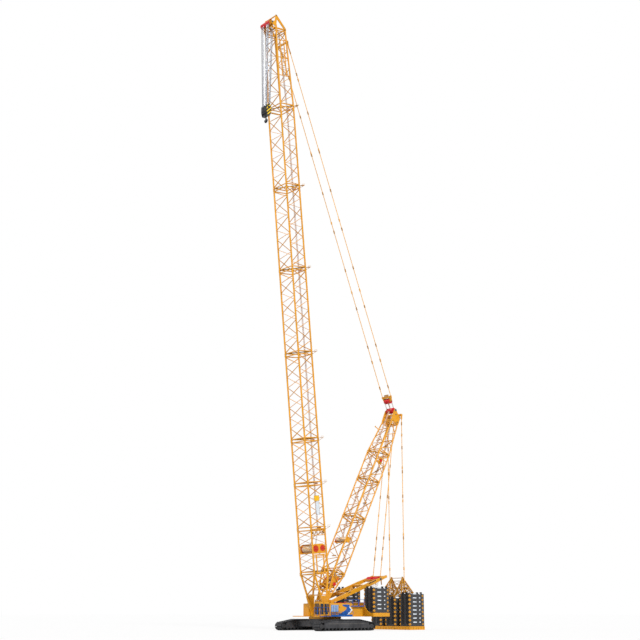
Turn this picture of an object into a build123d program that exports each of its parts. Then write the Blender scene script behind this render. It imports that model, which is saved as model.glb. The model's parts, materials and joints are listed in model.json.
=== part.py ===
from build123d import *
import math
import os

# Crawler crane with a lattice boom, a derrick mast and a ballast tray behind it, at one
# tenth of the real size. Millimetres. +X is forward, +Y left, +Z up and z = 0 the ground.
# The sizes below count x from the slewing axis; save() moves the whole crane along X so
# that its origin is the middle of its outer box at ground level.

os.makedirs("parts", exist_ok=True)

# ---------------------------------------------------------------- clearances and pins
SEAT = 0.3              # gap between pieces that are bolted, welded or laid on each other
RUNNING = 3.0           # gap between a turning foot and the plate beside it
PIN_PLAY = 0.08         # radial play of a pin in its bore
PIN_RADIUS = 11.0
BOSS_RADIUS = 20.0      # eye of a boom, mast or gantry foot
DRUM_SIDES = 16         # flats round a sheave or a rope drum
ROD_SIDES = 8           # flats round a tie, a boss or a chord

# ---------------------------------------------------------------- crawlers
TRACK_LENGTH = 980.0
TRACK_GAUGE = 810.0     # between the centre lines of the two tracks
TRACK_HEIGHT = 150.0
SHOE_WIDTH = 138.0
SHOE_COUNT = 40
SHOE_HEIGHT = 7.0
SHOE_GAP = 9.0
BELT_THICKNESS = 8.0
END_RADIUS = 58.0       # of the loop round the end wheels, shoes included
FLAT_TOP = 430.0        # length of the level upper run
FRAME_WIDTH = 112.0
ROLLER_RADIUS = 13.0
ROLLER_COUNT = 13
FRAME_BOTTOM = 36.0
FORK_HALF = 17.0        # half the height of the arms that hold an end wheel
FORK_CHEEK = 16.0       # and their thickness
CARBODY_BOTTOM = 52.0
CARBODY_TOP = 150.0
AXLE_BOX_X = 150.0      # middle of each axle box, ahead of and behind the slewing axis
AXLE_BOX_LENGTH = 92.0
AXLE_BOX_DROP = 22.0    # top of an axle box below the carbody's top
CARBODY_HALF = 190.0    # half the width of the carbody's middle
TOW_EYE_Z = 72.0
TOW_EYE_RADIUS = 7.0
TOW_EYE_THICKNESS = 12.0
RING_RADIUS = 208.0

# ---------------------------------------------------------------- superstructure
DECK_BOTTOM = 180.0
DECK_TOP = 190.0
WEB_Y = 123.0           # the two main webs of the turntable frame
WEB_THICKNESS = 10.0
WEB_TOP = 240.0
HOUSE_WIDTH = 112.0
HOUSE_TOP = 352.0
HOUSE_FRONT = 148.0
HOUSE_REAR_LEFT = -245.0
HOUSE_REAR_RIGHT = -455.0

CAB_FRONT = 322.0
CAB_LENGTH = 159.0
CAB_WIDTH = 110.0
CAB_INNER_Y = 175.0
CAB_TOP = 368.0
CAB_WALL = 5.0
CAB_FLOOR = 8.0
ROOF_PLATE = 9.0
DOOR_TRAVEL = 74.0      # how far the door slides back
DOOR_LENGTH = 82.0

# ---------------------------------------------------------------- ballast
SLAB_LENGTH = 275.0
SLAB_WIDTH = 192.0
SLAB_HEIGHT = 54.0
SLAB_PITCH = 54.5
LUG_SIZE = 22.0
LUG_PROUD = 5.0         # how far a lug stands out from the slab's front and rear
BODY_SLABS = 6
BODY_STACK_FRONT = -530.0
BODY_STACK_Y = 300.0
BODY_STACK_BASE = 230.0
TRAY_OUTER_COUNT = 8    # plates in each outer stack of the tray
TRAY_MIDDLE_COUNT = 7
TRAY_STACK_PITCH = 300.0
TRAY_BASE_HEIGHT = 48.0
TRAY_OVERHANG = 4.0

# ---------------------------------------------------------------- boom
BOOM_PIN = (100.0, 205.0)       # x, z of the foot pin
BOOM_LEAN = 5.48                # degrees forward of upright
BOOM_WIDTH = 292.0              # between chord centres, along Y
BOOM_DEPTH = 234.0              # between chord centres, front to rear
BOOM_OFFSET = 30.0              # boom centre line ahead of the foot pin
CHORD_RADIUS = 13.0
LACING = 11.0                   # side of a lacing bar
FOOT_LENGTH = 546.0
LEG_THICKNESS = 26.0
LEG_PLATE_TOP = 250.0
BASE_LENGTH = 590.0
BAY = 150.0                     # one half wave of the lacing
HEAD_LENGTH = 1176.0
HEAD_DEPTH = 166.0
HEAD_WIDTH = 250.0
APEX_RISE = 219.0
HEAD_AXLE = (93.0, 144.0)       # above the top of the head chords, ahead of the centre
HEAD_SHEAVE_RADIUS = 45.0
PENDANT_DROP = 165.0            # pendant eye below the top of the head chords
PENDANT_REACH = 50.0            # and behind the rear chords
PENDANT_Y = 90.0

# ---------------------------------------------------------------- hook
HOOK_DROP = 1268.97     # top of the block below the axle of the head sheaves
HOOK_BLOCK_HEIGHT = 172.0
HOOK_BLOCK_LENGTH = 80.0
HOOK_BLOCK_WIDTH = 130.0

# ---------------------------------------------------------------- derrick mast
MAST_PIN = (50.0, 380.0)
MAST_LEAN = 26.74               # degrees backward of upright
MAST_WIDTH = 270.0
MAST_DEPTH = 185.0
MAST_CHORD_RADIUS = 12.0
MAST_FOOT_Y = 105.0
MAST_FOOT_LENGTH = 425.0
MAST_LEG_TOP = 130.0
MAST_LEG_THICKNESS = 22.0
MAST_HEAD_LENGTH = 640.0
MAST_HEAD_DEPTH = 120.0
MAST_HEAD_WIDTH = 200.0
MAST_SHEAVE_RADIUS = 40.0
LUFF_GAP = 145.0                # between the mast head sheaves and the luffing block

# ---------------------------------------------------------------- gantry
GANTRY_PIN = (10.0, 372.0)
GANTRY_HEAD = (-935.0, 705.0)
GANTRY_Y = 142.0
GANTRY_THICKNESS = 22.0
GANTRY_TIP = 62.0
STAY_Y = 90.0
TRAY_PENDANT_Y = 149.0

# ---------------------------------------------------------------- worked out from these
def turned(pin, lean):
    """The frame of a boom or mast: local z runs along it from its foot pin, local x ahead."""
    return Pos(pin[0], 0, pin[1]) * Rot(0, lean, 0)


BOOM_FRAME = turned(BOOM_PIN, BOOM_LEAN)
MAST_FRAME = turned(MAST_PIN, -MAST_LEAN)


def in_frame(frame, x, y, z):
    """A point of a boom or mast frame in the crane's frame."""
    return (frame * Pos(x, y, z)).position


# name, length of each lattice piece between the boom base and the boom head
BOOM_INSERTS = [
    ("boom_insert_1", 600.0),
    ("boom_insert_2", 600.0),
    ("boom_insert_3", 1200.0),
    ("boom_insert_4", 1200.0),
    ("boom_insert_5", 1200.0),
    ("boom_insert_6", 1200.0),
]
HEAD_START = FOOT_LENGTH + BASE_LENGTH + sum(length for _, length in BOOM_INSERTS)
HEAD_TOP = HEAD_START + HEAD_LENGTH
AXLE_X = BOOM_OFFSET + HEAD_AXLE[1]
AXLE_Z = HEAD_TOP + HEAD_AXLE[0]
HEAD_AXLE_AT = in_frame(BOOM_FRAME, AXLE_X, 0, AXLE_Z)
HOOK_BLOCK_TOP = HEAD_AXLE_AT.Z - HOOK_DROP

# name, length of each lattice piece between the mast foot and the mast head
MAST_SECTIONS = [
    ("mast_base", 845.0),
    ("mast_insert", 600.0),
    ("mast_upper", 450.0),
]
MAST_HEAD_START = MAST_FOOT_LENGTH + sum(length for _, length in MAST_SECTIONS)
MAST_TOP = MAST_HEAD_START + MAST_HEAD_LENGTH
MAST_AXLE = (64.0, MAST_TOP + 56.0)         # luffing sheaves, in the mast's frame
MAST_AXLE_AT = in_frame(MAST_FRAME, MAST_AXLE[0], 0, MAST_AXLE[1])
STAY_EYE = (30.0, MAST_TOP)
STAY_EYE_AT = in_frame(MAST_FRAME, STAY_EYE[0], 0, STAY_EYE[1])
TRAY_EYE = (-45.0, MAST_TOP)
TRAY_EYE_AT = in_frame(MAST_FRAME, TRAY_EYE[0], 0, TRAY_EYE[1])

TRAY_X = TRAY_EYE_AT.X                      # the tray hangs plumb below the mast head
TRAY_FRONT = TRAY_X + SLAB_LENGTH / 2 + TRAY_OVERHANG
TRAY_REAR = TRAY_X - SLAB_LENGTH / 2 - TRAY_OVERHANG
ORIGIN_X = -(HEAD_AXLE_AT.X + HEAD_SHEAVE_RADIUS + TRAY_REAR) / 2


# ---------------------------------------------------------------- helpers
def save(name, *solids):
    """Writes one node of the crane, as one part or as several that don't touch."""
    moved = [Pos(ORIGIN_X, 0, 0) * solid for shape in solids for solid in shape.solids()]
    whole = moved[0] if len(moved) == 1 else Compound(children=moved)
    export_step(whole, f"parts/{name}.step")


def box(x0, x1, y0, y1, z0, z1):
    """A block between two values on each axis."""
    middle = Pos((x0 + x1) / 2, (y0 + y1) / 2, (z0 + z1) / 2)
    return middle * Box(abs(x1 - x0), abs(y1 - y0), abs(z1 - z0))


def plate(points, y, thickness):
    """A plate in an XZ plane whose outline runs through points, its middle at y."""
    outline = make_face(Polyline(*points, close=True))
    return extrude(Plane.XZ.offset(-y) * outline, amount=thickness / 2, both=True)


def axle(x, z, y0, y1, radius):
    """A round bar along Y."""
    return Pos(x, (y0 + y1) / 2, z) * Rot(90, 0, 0) * Cylinder(radius, abs(y1 - y0))


def tie(x, z, y0, y1, radius):
    """A rod along Y with eight flats, for a tie, a guard or a boss."""
    outline = Pos(x, 0, z) * Rot(90, 0, 0) * RegularPolygon(radius, ROD_SIDES, rotation=22.5)
    return Pos(0, max(y0, y1), 0) * extrude(outline, amount=abs(y1 - y0))


def drum(x, z, stations):
    """A sheave or rope drum along Y with level flats, through stations of y and radius."""
    rings = []
    for y, radius in stations:
        turns = [2 * math.pi * i / DRUM_SIDES for i in range(DRUM_SIDES)]
        rings.append([Vector(x + radius * math.cos(a), y, z + radius * math.sin(a)) for a in turns])
    faces = [Face(Wire.make_polygon(ring)) for ring in (rings[0], rings[-1])]
    for low, high in zip(rings, rings[1:]):
        for i in range(DRUM_SIDES):
            j = (i + 1) % DRUM_SIDES
            faces.append(Face(Wire.make_polygon([low[i], low[j], high[j], high[i]])))
    return Solid(Shell(faces))


def along(a, b):
    """The frame at a whose z runs to b, and the distance between them."""
    start, end = Vector(*a), Vector(*b)
    span = end - start
    across = Vector(0, 1, 0) if abs(span.normalized().Y) < 0.9 else Vector(1, 0, 0)
    return Plane(origin=start, x_dir=across.cross(span), z_dir=span), span.length


def chord_tube(a, b, radius):
    """A chord from a to b with level ends: a tube with eight flats, radius across a flat."""
    start, span = Vector(*a), Vector(*b) - Vector(*a)
    outline = RegularPolygon(radius, ROD_SIDES, major_radius=False, rotation=22.5)
    return extrude(Pos(*start) * outline, amount=span.length, dir=span.normalized())


def wall_at(offset, radius):
    """How far a chord's wall lies from its middle plane, at an offset from that plane's normal."""
    return radius - max(0.0, offset - radius * math.tan(math.pi / 8))


def bar(a, b, width, height=None):
    """A square or flat bar from a to b, its width measured along Y where it can be."""
    frame, length = along(a, b)
    return extrude(frame * Rectangle(height or width, width), amount=length)


def ladder(a, b, rungs, knots, bays, chord_radius, size):
    """Lacing of one face as one welded piece: zigzag bars and level rungs between two chords.

    a and b are the chords' lines, each as its two ends. rungs are the shares of the chords'
    length at which a rung lies, knots the shares between which the zigzag's bays are spread.
    """
    a0, a1, b0, b1 = [Vector(*point) for point in (*a, *b)]
    foot, head = (a0 + b0) / 2, (a1 + b1) / 2
    length = (head - foot).length
    across, up = (b0 - a0).normalized(), (head - foot).normalized()
    width_low, width_high = (b0 - a0).length, (b1 - a1).length
    slope = (width_high - width_low) / 2 / length
    inset = chord_radius + SEAT

    def at_wall(side, v):
        """A point beside a chord's wall at height v, side being -1 at a and 1 at b."""
        return (side * (width_low / 2 + slope * v - inset), v)

    def piece(side, v0, v1, half):
        """A bar from one chord at height v0 to the other at v1, its ends cut along them."""
        return Polygon(at_wall(side, v0 - half), at_wall(side, v0 + half),
                       at_wall(-side, v1 + half), at_wall(-side, v1 - half), align=None)

    outline = Sketch()
    for share in rungs:
        outline += piece(-1, share * length, share * length, size / 2)
    low, high = knots[0] * length, knots[1] * length
    bay = (high - low) / max(bays, 1)
    for i in range(bays):
        v0, v1 = low + i * bay, low + (i + 1) * bay
        side = -1 if i % 2 == 0 else 1
        reach = 2 * abs(at_wall(1, (v0 + v1) / 2)[0])
        half = size / 2 * math.hypot(bay, reach) / reach
        outline += piece(side, v0, v1, half)
    plane = Plane(origin=foot, x_dir=across, z_dir=across.cross(up))
    return extrude(plane * outline, amount=size / 2, both=True)


def lattice(foot, head, bays, chord_radius, size, faces="front rear left right"):
    """Chords, end frames and lacing of a four-chord section.

    foot and head are (x of the middle, depth, width, z) of the two ends.
    """
    def corners(x, depth, width, z):
        return [
            Vector(x + depth / 2, -width / 2, z),
            Vector(x + depth / 2, width / 2, z),
            Vector(x - depth / 2, width / 2, z),
            Vector(x - depth / 2, -width / 2, z),
        ]

    low, high = corners(*foot), corners(*head)
    solids = [chord_tube(a, b, chord_radius) for a, b in zip(low, high)]
    rung = size / (head[3] - foot[3])
    sides = {"front": (0, 1), "left": (1, 2), "rear": (2, 3), "right": (3, 0)}
    for name in faces.split():
        i, j = sides[name]
        chords = (low[i], high[i]), (low[j], high[j])
        solids.append(ladder(*chords, (rung, 1 - rung), (2 * rung, 1 - 2 * rung),
                             bays, chord_radius, size))
    return solids


GROOVE = 0.84           # bottom of a sheave's groove as a share of its radius
DRUM_FLANGE = 7.0


def sheave_stations(y0, y1, radius, count):
    """The stations of grooved sheaves side by side."""
    pitch = (y1 - y0) / count
    stations = [(y0, radius)]
    for i in range(count):
        left = y0 + i * pitch
        stations += [(left + pitch / 2, GROOVE * radius), (left + pitch, radius)]
    return stations


def sheave_pack(x, z, y0, y1, radius, count):
    """Grooved sheaves side by side on one axle along Y, as one turned piece."""
    return drum(x, z, sheave_stations(y0, y1, radius, count))


def winch(x, z, reach, core, flange):
    """A rope drum with its two flanges, from -reach to reach along Y."""
    stations = [(reach, flange), (reach - DRUM_FLANGE + 1, flange), (reach - DRUM_FLANGE, core)]
    return drum(x, z, [(-y, radius) for y, radius in stations] + stations[::-1])


def eye_plate(points, eye, eye_radius, bore, y, thickness):
    """A plate with a boss and a bore at eye, for a pinned joint."""
    whole = plate(points, y, thickness)
    whole += tie(*eye, y - thickness / 2, y + thickness / 2, eye_radius)
    return whole - axle(*eye, y - thickness, y + thickness, bore)


# ---------------------------------------------------------------- undercarriage
END_X = TRACK_LENGTH / 2 - END_RADIUS
BELT_RADIUS = END_RADIUS - SHOE_HEIGHT


def loop(radius):
    """The outline of the track's run: round both end wheels and over the level top."""
    tops = [(x, TRACK_HEIGHT - END_RADIUS) for x in (-FLAT_TOP / 2, FLAT_TOP / 2)]
    centres = tops + [(-END_X, END_RADIUS), (END_X, END_RADIUS)]
    rounds = [(Pos(x, z) * Circle(radius)).edge() for x, z in centres]
    return make_hull(rounds)


def make_track(side):
    """One endless track: a belt of links with a raised shoe at each pitch."""
    run = loop(BELT_RADIUS)
    path = run.faces()[0].outer_wire()
    shoe_length = path.length / SHOE_COUNT - SHOE_GAP
    outline = run
    for i in range(SHOE_COUNT):
        share = (i + 0.5) / SHOE_COUNT
        at, way = path.position_at(share), path.tangent_at(share)
        angle = math.degrees(math.atan2(way.Y, way.X))
        outline += Pos(at.X, at.Y) * Rot(0, 0, angle) * Rectangle(shoe_length, 2 * SHOE_HEIGHT)
    outline -= loop(BELT_RADIUS - BELT_THICKNESS)
    above_ground = Pos(0, TRACK_HEIGHT) * Rectangle(2 * TRACK_LENGTH, 2 * TRACK_HEIGHT)
    outline = outline & above_ground
    plane = Plane.XZ.offset(-side * TRACK_GAUGE / 2)
    return extrude(plane * outline, amount=SHOE_WIDTH / 2, both=True)


def make_crawler_frame(side):
    """Box frame inside the track, with its rollers in its lower edge and its end wheels."""
    inner = BELT_RADIUS - BELT_THICKNESS - SEAT
    body = loop(inner) & Pos(0, FRAME_BOTTOM + 100) * Rectangle(2 * END_X - 96, 200)
    roller_z = END_RADIUS - inner + ROLLER_RADIUS
    span = 2 * END_X - 130
    for i in range(ROLLER_COUNT):
        x = span * (i / (ROLLER_COUNT - 1) - 0.5)
        roller = RegularPolygon(ROLLER_RADIUS, ROD_SIDES, major_radius=False, rotation=22.5)
        body += Pos(x, roller_z) * roller
    for x in (-END_X, END_X):
        fork = Pos(x * 0.93, END_RADIUS) * Rectangle(0.14 * END_X, 2 * FORK_HALF)
        body += fork + Pos(x, END_RADIUS) * RegularPolygon(FORK_HALF, ROD_SIDES)
    plane = Plane.XZ.offset(-side * TRACK_GAUGE / 2)
    frame = extrude(plane * body, amount=FRAME_WIDTH / 2, both=True)
    wheels = []
    y = side * TRACK_GAUGE / 2
    half = FRAME_WIDTH / 2 - FORK_CHEEK
    for x in (-END_X, END_X):
        frame -= Pos(x, y, END_RADIUS) * Box(2 * inner + 12, 2 * half, 2 * inner)
        wheels.append(drum(x, END_RADIUS, [(y - half + 2, inner), (y + half - 2, inner)]))
    return [frame] + wheels


FRAME_INNER_Y = TRACK_GAUGE / 2 - FRAME_WIDTH / 2
for side, name in ((1, "left"), (-1, "right")):
    save(f"track_{name}", make_track(side))
    save(f"crawler_frame_{name}", *make_crawler_frame(side))

carbody = box(-AXLE_BOX_X, AXLE_BOX_X, -CARBODY_HALF, CARBODY_HALF, CARBODY_BOTTOM, CARBODY_TOP)
seat_low = CARBODY_BOTTOM + 38
seat_height = CARBODY_TOP - seat_low
carbody += Pos(0, 0, seat_low + seat_height / 2) * Cylinder(RING_RADIUS + 6, seat_height)
reach = FRAME_INNER_Y - SEAT
for x in (-1, 1):
    middle = x * AXLE_BOX_X
    x0, x1 = middle - AXLE_BOX_LENGTH / 2, middle + AXLE_BOX_LENGTH / 2
    carbody += box(x0, x1, -reach, reach, CARBODY_BOTTOM, CARBODY_TOP - AXLE_BOX_DROP)
    lug_x = x * (AXLE_BOX_X + AXLE_BOX_LENGTH / 2 + 10)
    lug = Pos(lug_x, 0, TOW_EYE_Z) * Box(28, 40, TOW_EYE_THICKNESS)
    bore = Pos(lug_x + x * 2, 0, TOW_EYE_Z) * Cylinder(TOW_EYE_RADIUS, 2 * TOW_EYE_THICKNESS)
    carbody += lug - bore
save("carbody", carbody)
ring_top = DECK_BOTTOM - 0.5
ring_height = ring_top - CARBODY_TOP - SEAT
save("slewing_ring", Pos(0, 0, ring_top - ring_height / 2) * Cylinder(RING_RADIUS, ring_height))

# ---------------------------------------------------------------- turntable frame
BOOM_Y = BOOM_WIDTH / 2
LEG_INNER = BOOM_Y - LEG_THICKNESS / 2
LEG_OUTER = BOOM_Y + LEG_THICKNESS / 2
WEB_OUTER = WEB_Y + WEB_THICKNESS / 2
WEB_INNER = WEB_Y - WEB_THICKNESS / 2
OUTER_LUG_Y = LEG_OUTER + RUNNING
OUTER_LUG = 5.0
PIN_LUG = 6.0               # lugs of the mast and gantry pins
SIDE_Y = OUTER_LUG_Y + OUTER_LUG + 2 * SEAT + 1     # inner wall of the side houses
DECK_EDGE = SIDE_Y + HOUSE_WIDTH + 6
REAR_FACE = BODY_STACK_FRONT + 5
BEAM_TOP = BODY_STACK_BASE - SEAT
STACK_OUTER = BODY_STACK_Y + SLAB_WIDTH / 2 + 4
STACK_INNER = BODY_STACK_Y - SLAB_WIDTH / 2 - 4
COUNTER_REAR = BODY_STACK_FRONT - SLAB_LENGTH - 4
ANCHOR = (COUNTER_REAR + 62, 262.0)         # lower sheaves of the gantry ropes, x and z
ANCHOR_Y = 72.0
ANCHOR_PLATE = 8.0


def main_web(y):
    """Longitudinal web that carries the boom, mast and gantry pins on one plate."""
    bx, bz = BOOM_PIN
    mx, mz = MAST_PIN
    gx, gz = GANTRY_PIN
    outline = [
        (REAR_FACE, DECK_BOTTOM), (bx + 42, DECK_BOTTOM), (bx + 42, bz + 16),
        (bx + 18, bz + 28), (mx + 26, WEB_TOP), (mx + 24, mz + 12), (mx + 10, mz + 24),
        (gx - 18, gz + 26), (gx - 44, gz + 8), (gx - 74, WEB_TOP), (REAR_FACE, WEB_TOP),
    ]
    return plate(outline, y, WEB_THICKNESS)


def side_parts(s):
    """The turntable frame's pieces on one side, s being 1 on the left."""
    bx, bz = BOOM_PIN
    mx, mz = MAST_PIN
    gx, gz = GANTRY_PIN
    lug_y = s * (OUTER_LUG_Y + OUTER_LUG / 2)
    parts = [main_web(s * WEB_Y)]
    boom_lug = [(bx - 40, DECK_BOTTOM), (bx + 42, DECK_BOTTOM), (bx + 42, bz + 16),
                (bx + 18, bz + 28), (bx - 18, bz + 28), (bx - 40, bz)]
    parts.append(plate(boom_lug, lug_y, OUTER_LUG))
    parts.append(axle(bx, bz, s * WEB_Y, lug_y, PIN_RADIUS))
    gantry_y = s * (GANTRY_Y + GANTRY_THICKNESS / 2 + RUNNING + PIN_LUG / 2)
    gantry_lug = [(gx - 52, DECK_BOTTOM), (gx + 30, DECK_BOTTOM), (gx + 24, gz + 12),
                  (gx + 10, gz + 22), (gx - 12, gz + 22), (gx - 26, gz + 8)]
    parts.append(plate(gantry_lug, gantry_y, PIN_LUG))
    parts.append(axle(gx, gz, s * WEB_Y, gantry_y, PIN_RADIUS))
    mast_y = s * (MAST_FOOT_Y - MAST_LEG_THICKNESS / 2 - RUNNING - PIN_LUG / 2)
    mast_lug = [(mx - 60, DECK_TOP), (mx + 30, DECK_TOP), (mx + 22, mz + 12),
                (mx + 10, mz + 22), (mx - 10, mz + 22), (mx - 24, mz + 8)]
    parts.append(plate(mast_lug, mast_y, PIN_LUG))
    parts.append(axle(mx, mz, s * WEB_Y, mast_y, PIN_RADIUS))
    deck = s * DECK_EDGE
    parts.append(box(HOUSE_REAR_RIGHT, bx - 50, s * WEB_INNER, deck, DECK_BOTTOM, DECK_TOP))
    parts.append(box(bx - 55, CAB_FRONT + 3, s * OUTER_LUG_Y, deck, DECK_BOTTOM, DECK_TOP))
    return parts


def counterweight_beam():
    """Cross beam behind the machinery, deep in the middle and curved out to its tips."""
    z0, z1, zt = DECK_BOTTOM, BEAM_TOP, HOUSE_TOP + 16
    bend = STACK_INNER + 52
    low = z1 + 46
    right = ThreePointArc((-STACK_OUTER, z1), (-bend, low), (-STACK_INNER, zt))
    left = ThreePointArc((STACK_INNER, zt), (bend, low), (STACK_OUTER, z1))
    outline = make_face([
        Polyline((STACK_OUTER, z1), (STACK_OUTER, z0), (-STACK_OUTER, z0), (-STACK_OUTER, z1)),
        right, Line((-STACK_INNER, zt), (STACK_INNER, zt)), left,
    ])
    front = extrude(Plane.YZ.offset(REAR_FACE) * outline, amount=12)
    shelf = box(COUNTER_REAR, REAR_FACE, -STACK_OUTER, STACK_OUTER, z0, z1)
    return [front, shelf]


platform = box(REAR_FACE, BOOM_PIN[0] - 42, -WEB_Y, WEB_Y, DECK_BOTTOM, DECK_TOP)
pieces = side_parts(1) + side_parts(-1) + counterweight_beam()
for x in (-150.0, BOOM_PIN[0] - 46):
    pieces.append(box(x - 4, x + 4, -WEB_Y, WEB_Y, DECK_TOP, WEB_TOP - 14))
for y in (-ANCHOR_Y, ANCHOR_Y):
    points = [(ANCHOR[0] - 40, DECK_BOTTOM), (ANCHOR[0] + 40, DECK_BOTTOM),
              (ANCHOR[0] + 16, ANCHOR[1] + 16), (ANCHOR[0] - 16, ANCHOR[1] + 16)]
    pieces.append(plate(points, y, ANCHOR_PLATE))
platform = platform.fuse(*pieces)
save("turntable_frame", platform)
anchor_end = ANCHOR_Y - ANCHOR_PLATE / 2 - SEAT
anchor_sheaves = sheave_pack(*ANCHOR, -anchor_end, anchor_end, 27, 3)
save("gantry_rope_sheaves", anchor_sheaves)

# ---------------------------------------------------------------- machinery and houses


DECK_WINCH_X = (-120.0, -290.0, -440.0)
DECK_DRUM = (46.0, 58.0)                    # radius of the drum and of its flanges
WINCH_Z = WEB_TOP + 72
WINCH_HUB = 14.0
WINCH_STAND = 8.0
stand_y = WEB_INNER - WINCH_STAND / 2
drum_reach = WEB_INNER - WINCH_STAND - 4
deck_winches = []
for x in DECK_WINCH_X:
    deck_winches.append(winch(x, WINCH_Z, drum_reach, *DECK_DRUM))
    points = [(x - 44, WEB_TOP + SEAT), (x + 44, WEB_TOP + SEAT),
              (x + 16, WINCH_Z + 16), (x - 16, WINCH_Z + 16)]
    for s in (-1, 1):
        hub = tie(x, WINCH_Z, s * (drum_reach + SEAT), s * stand_y, WINCH_HUB)
        deck_winches.append(plate(points, s * stand_y, WINCH_STAND) + hub)
save("deck_winches", *deck_winches)

house_z = DECK_TOP + SEAT
roof_edge = 7.0
LOUVRE_BOTTOM = 236.0
LOUVRE_PITCH = 16.0
LOUVRE_HEIGHT = 8.0
LOUVRE_DEPTH = 4.0
LOUVRE_COUNT = 6


def house(x0, x1, y0, y1):
    """A side house with bevelled roof edges and louvre bands cut into its outer wall."""
    whole = box(x0, x1, y0, y1, house_z, HOUSE_TOP)
    edges = whole.edges().filter_by(Axis.X).group_by(Axis.Z)[-1]
    return chamfer(edges, roof_edge)


def louvres(x0, x1, wall):
    """The slots of one louvre band, cut into the wall at y = wall."""
    slots = []
    for i in range(LOUVRE_COUNT):
        z = LOUVRE_BOTTOM + i * LOUVRE_PITCH
        slots.append(box(x0, x1, wall - LOUVRE_DEPTH, wall + LOUVRE_DEPTH, z, z + LOUVRE_HEIGHT))
    return slots


left_wall_y = SIDE_Y + HOUSE_WIDTH
left_house = house(HOUSE_REAR_LEFT, HOUSE_FRONT, SIDE_Y, left_wall_y)
save("house_left", left_house.cut(*louvres(HOUSE_FRONT - 148, HOUSE_FRONT - 30, left_wall_y)))
right_house = house(HOUSE_REAR_RIGHT, HOUSE_FRONT, -left_wall_y, -SIDE_Y)
# the two louvre bands of the long house, each as its ends in x
bands = [(HOUSE_REAR_RIGHT + 55, HOUSE_REAR_RIGHT + 205), (HOUSE_FRONT - 268, HOUSE_FRONT - 118)]
save("house_right", right_house.cut(*[slot for x0, x1 in bands for slot in louvres(x0, x1, -left_wall_y)]))

WALK_Z = 314.0
WALK_PLATE = 5.0
RAIL = 4.0
RAIL_HEIGHT = 92.0
WALK_LENGTH = 210.0
floor_top = WALK_Z + WALK_PLATE
walk_y0, walk_y1 = SIDE_Y, left_wall_y + 4
walk_x1 = HOUSE_REAR_LEFT - SEAT
walk_x0 = walk_x1 - WALK_LENGTH
rail_y = walk_y1 - RAIL
rail_x = walk_x0 + 3
walkway = box(walk_x0, walk_x1, walk_y0, walk_y1, WALK_Z, floor_top)
tank = box(walk_x0 + 6, walk_x1 - 12, walk_y0 + 4, walk_y1 - 30, house_z, WALK_Z - SEAT)
save("oil_tank", tank)
rails = []
for x in (rail_x, (walk_x0 + walk_x1) / 2, walk_x1 - 3 - RAIL):
    rails.append(box(x, x + RAIL, rail_y, walk_y1, floor_top, WALK_Z + RAIL_HEIGHT))
for z in (WALK_Z + RAIL_HEIGHT / 2, WALK_Z + RAIL_HEIGHT - RAIL):
    rails.append(box(rail_x, walk_x1 - 3, rail_y, walk_y1, z, z + RAIL))
    rails.append(box(rail_x, rail_x + RAIL, walk_y0 + 10, rail_y + 2, z, z + RAIL))
rails.append(box(rail_x, rail_x + RAIL, walk_y0 + 10, walk_y0 + 10 + RAIL, floor_top, WALK_Z + RAIL_HEIGHT))
STEP_WIDTH = 30.0
step_y = DECK_EDGE + SEAT
step_rear = HOUSE_REAR_LEFT + 25
catwalk = box(step_rear, CAB_FRONT - 4, step_y, step_y + STEP_WIDTH, DECK_BOTTOM + 2, DECK_BOTTOM + 8)
catwalk += box(step_rear, HOUSE_FRONT, step_y + STEP_WIDTH - 3, step_y + STEP_WIDTH,
               DECK_BOTTOM + 2, DECK_BOTTOM + 26)
save("walkways", walkway.fuse(*rails), catwalk)


# ---------------------------------------------------------------- ballast
def slab(x_front, y, z):
    """One ballast plate with a lifting lug on each of its four corners."""
    x, half_x, half_y = x_front - SLAB_LENGTH / 2, SLAB_LENGTH / 2, SLAB_WIDTH / 2
    outline = Rectangle(SLAB_LENGTH - 2 * LUG_PROUD, SLAB_WIDTH)
    for sx in (-1, 1):
        for sy in (-1, 1):
            middle = Pos(sx * (half_x - LUG_SIZE / 2), sy * (half_y - LUG_SIZE / 2))
            outline += middle * Rectangle(LUG_SIZE, LUG_SIZE)
    return extrude(Pos(x, y, z) * outline, amount=SLAB_HEIGHT)


def stack(x_front, y, base, count):
    """A stack of ballast plates."""
    return [slab(x_front, y, base + i * SLAB_PITCH) for i in range(count)]


for side, name in ((1, "left"), (-1, "right")):
    y = side * BODY_STACK_Y
    save(f"ballast_{name}", *stack(BODY_STACK_FRONT, y, BODY_STACK_BASE, BODY_SLABS))

tray_z = TRAY_BASE_HEIGHT + SEAT
# name, middle in y, number of plates
TRAY_STACKS = [
    ("tray_stack_left", TRAY_STACK_PITCH, TRAY_OUTER_COUNT),
    ("tray_stack_middle", 0.0, TRAY_MIDDLE_COUNT),
    ("tray_stack_right", -TRAY_STACK_PITCH, TRAY_OUTER_COUNT),
]
for name, y, count in TRAY_STACKS:
    save(name, *stack(TRAY_X + SLAB_LENGTH / 2, y, tray_z, count))
tray_half = TRAY_STACK_PITCH + SLAB_WIDTH / 2 + TRAY_OVERHANG
DECKING = 12.0
BEAM_WIDTH = 24.0
joist = TRAY_BASE_HEIGHT - DECKING
tray = box(TRAY_REAR, TRAY_FRONT, -tray_half, tray_half, joist, TRAY_BASE_HEIGHT)
beams = []
for x in (TRAY_REAR + BEAM_WIDTH / 2, TRAY_X, TRAY_FRONT - BEAM_WIDTH / 2):
    beams.append(box(x - BEAM_WIDTH / 2, x + BEAM_WIDTH / 2, -tray_half, tray_half, 0, joist))
for i in range(-3, 4):
    y = i * (tray_half - BEAM_WIDTH / 3) / 3
    beams.append(box(TRAY_REAR, TRAY_FRONT, y - BEAM_WIDTH / 3, y + BEAM_WIDTH / 3, 0, joist))
save("tray_base", tray.fuse(*beams))

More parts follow.
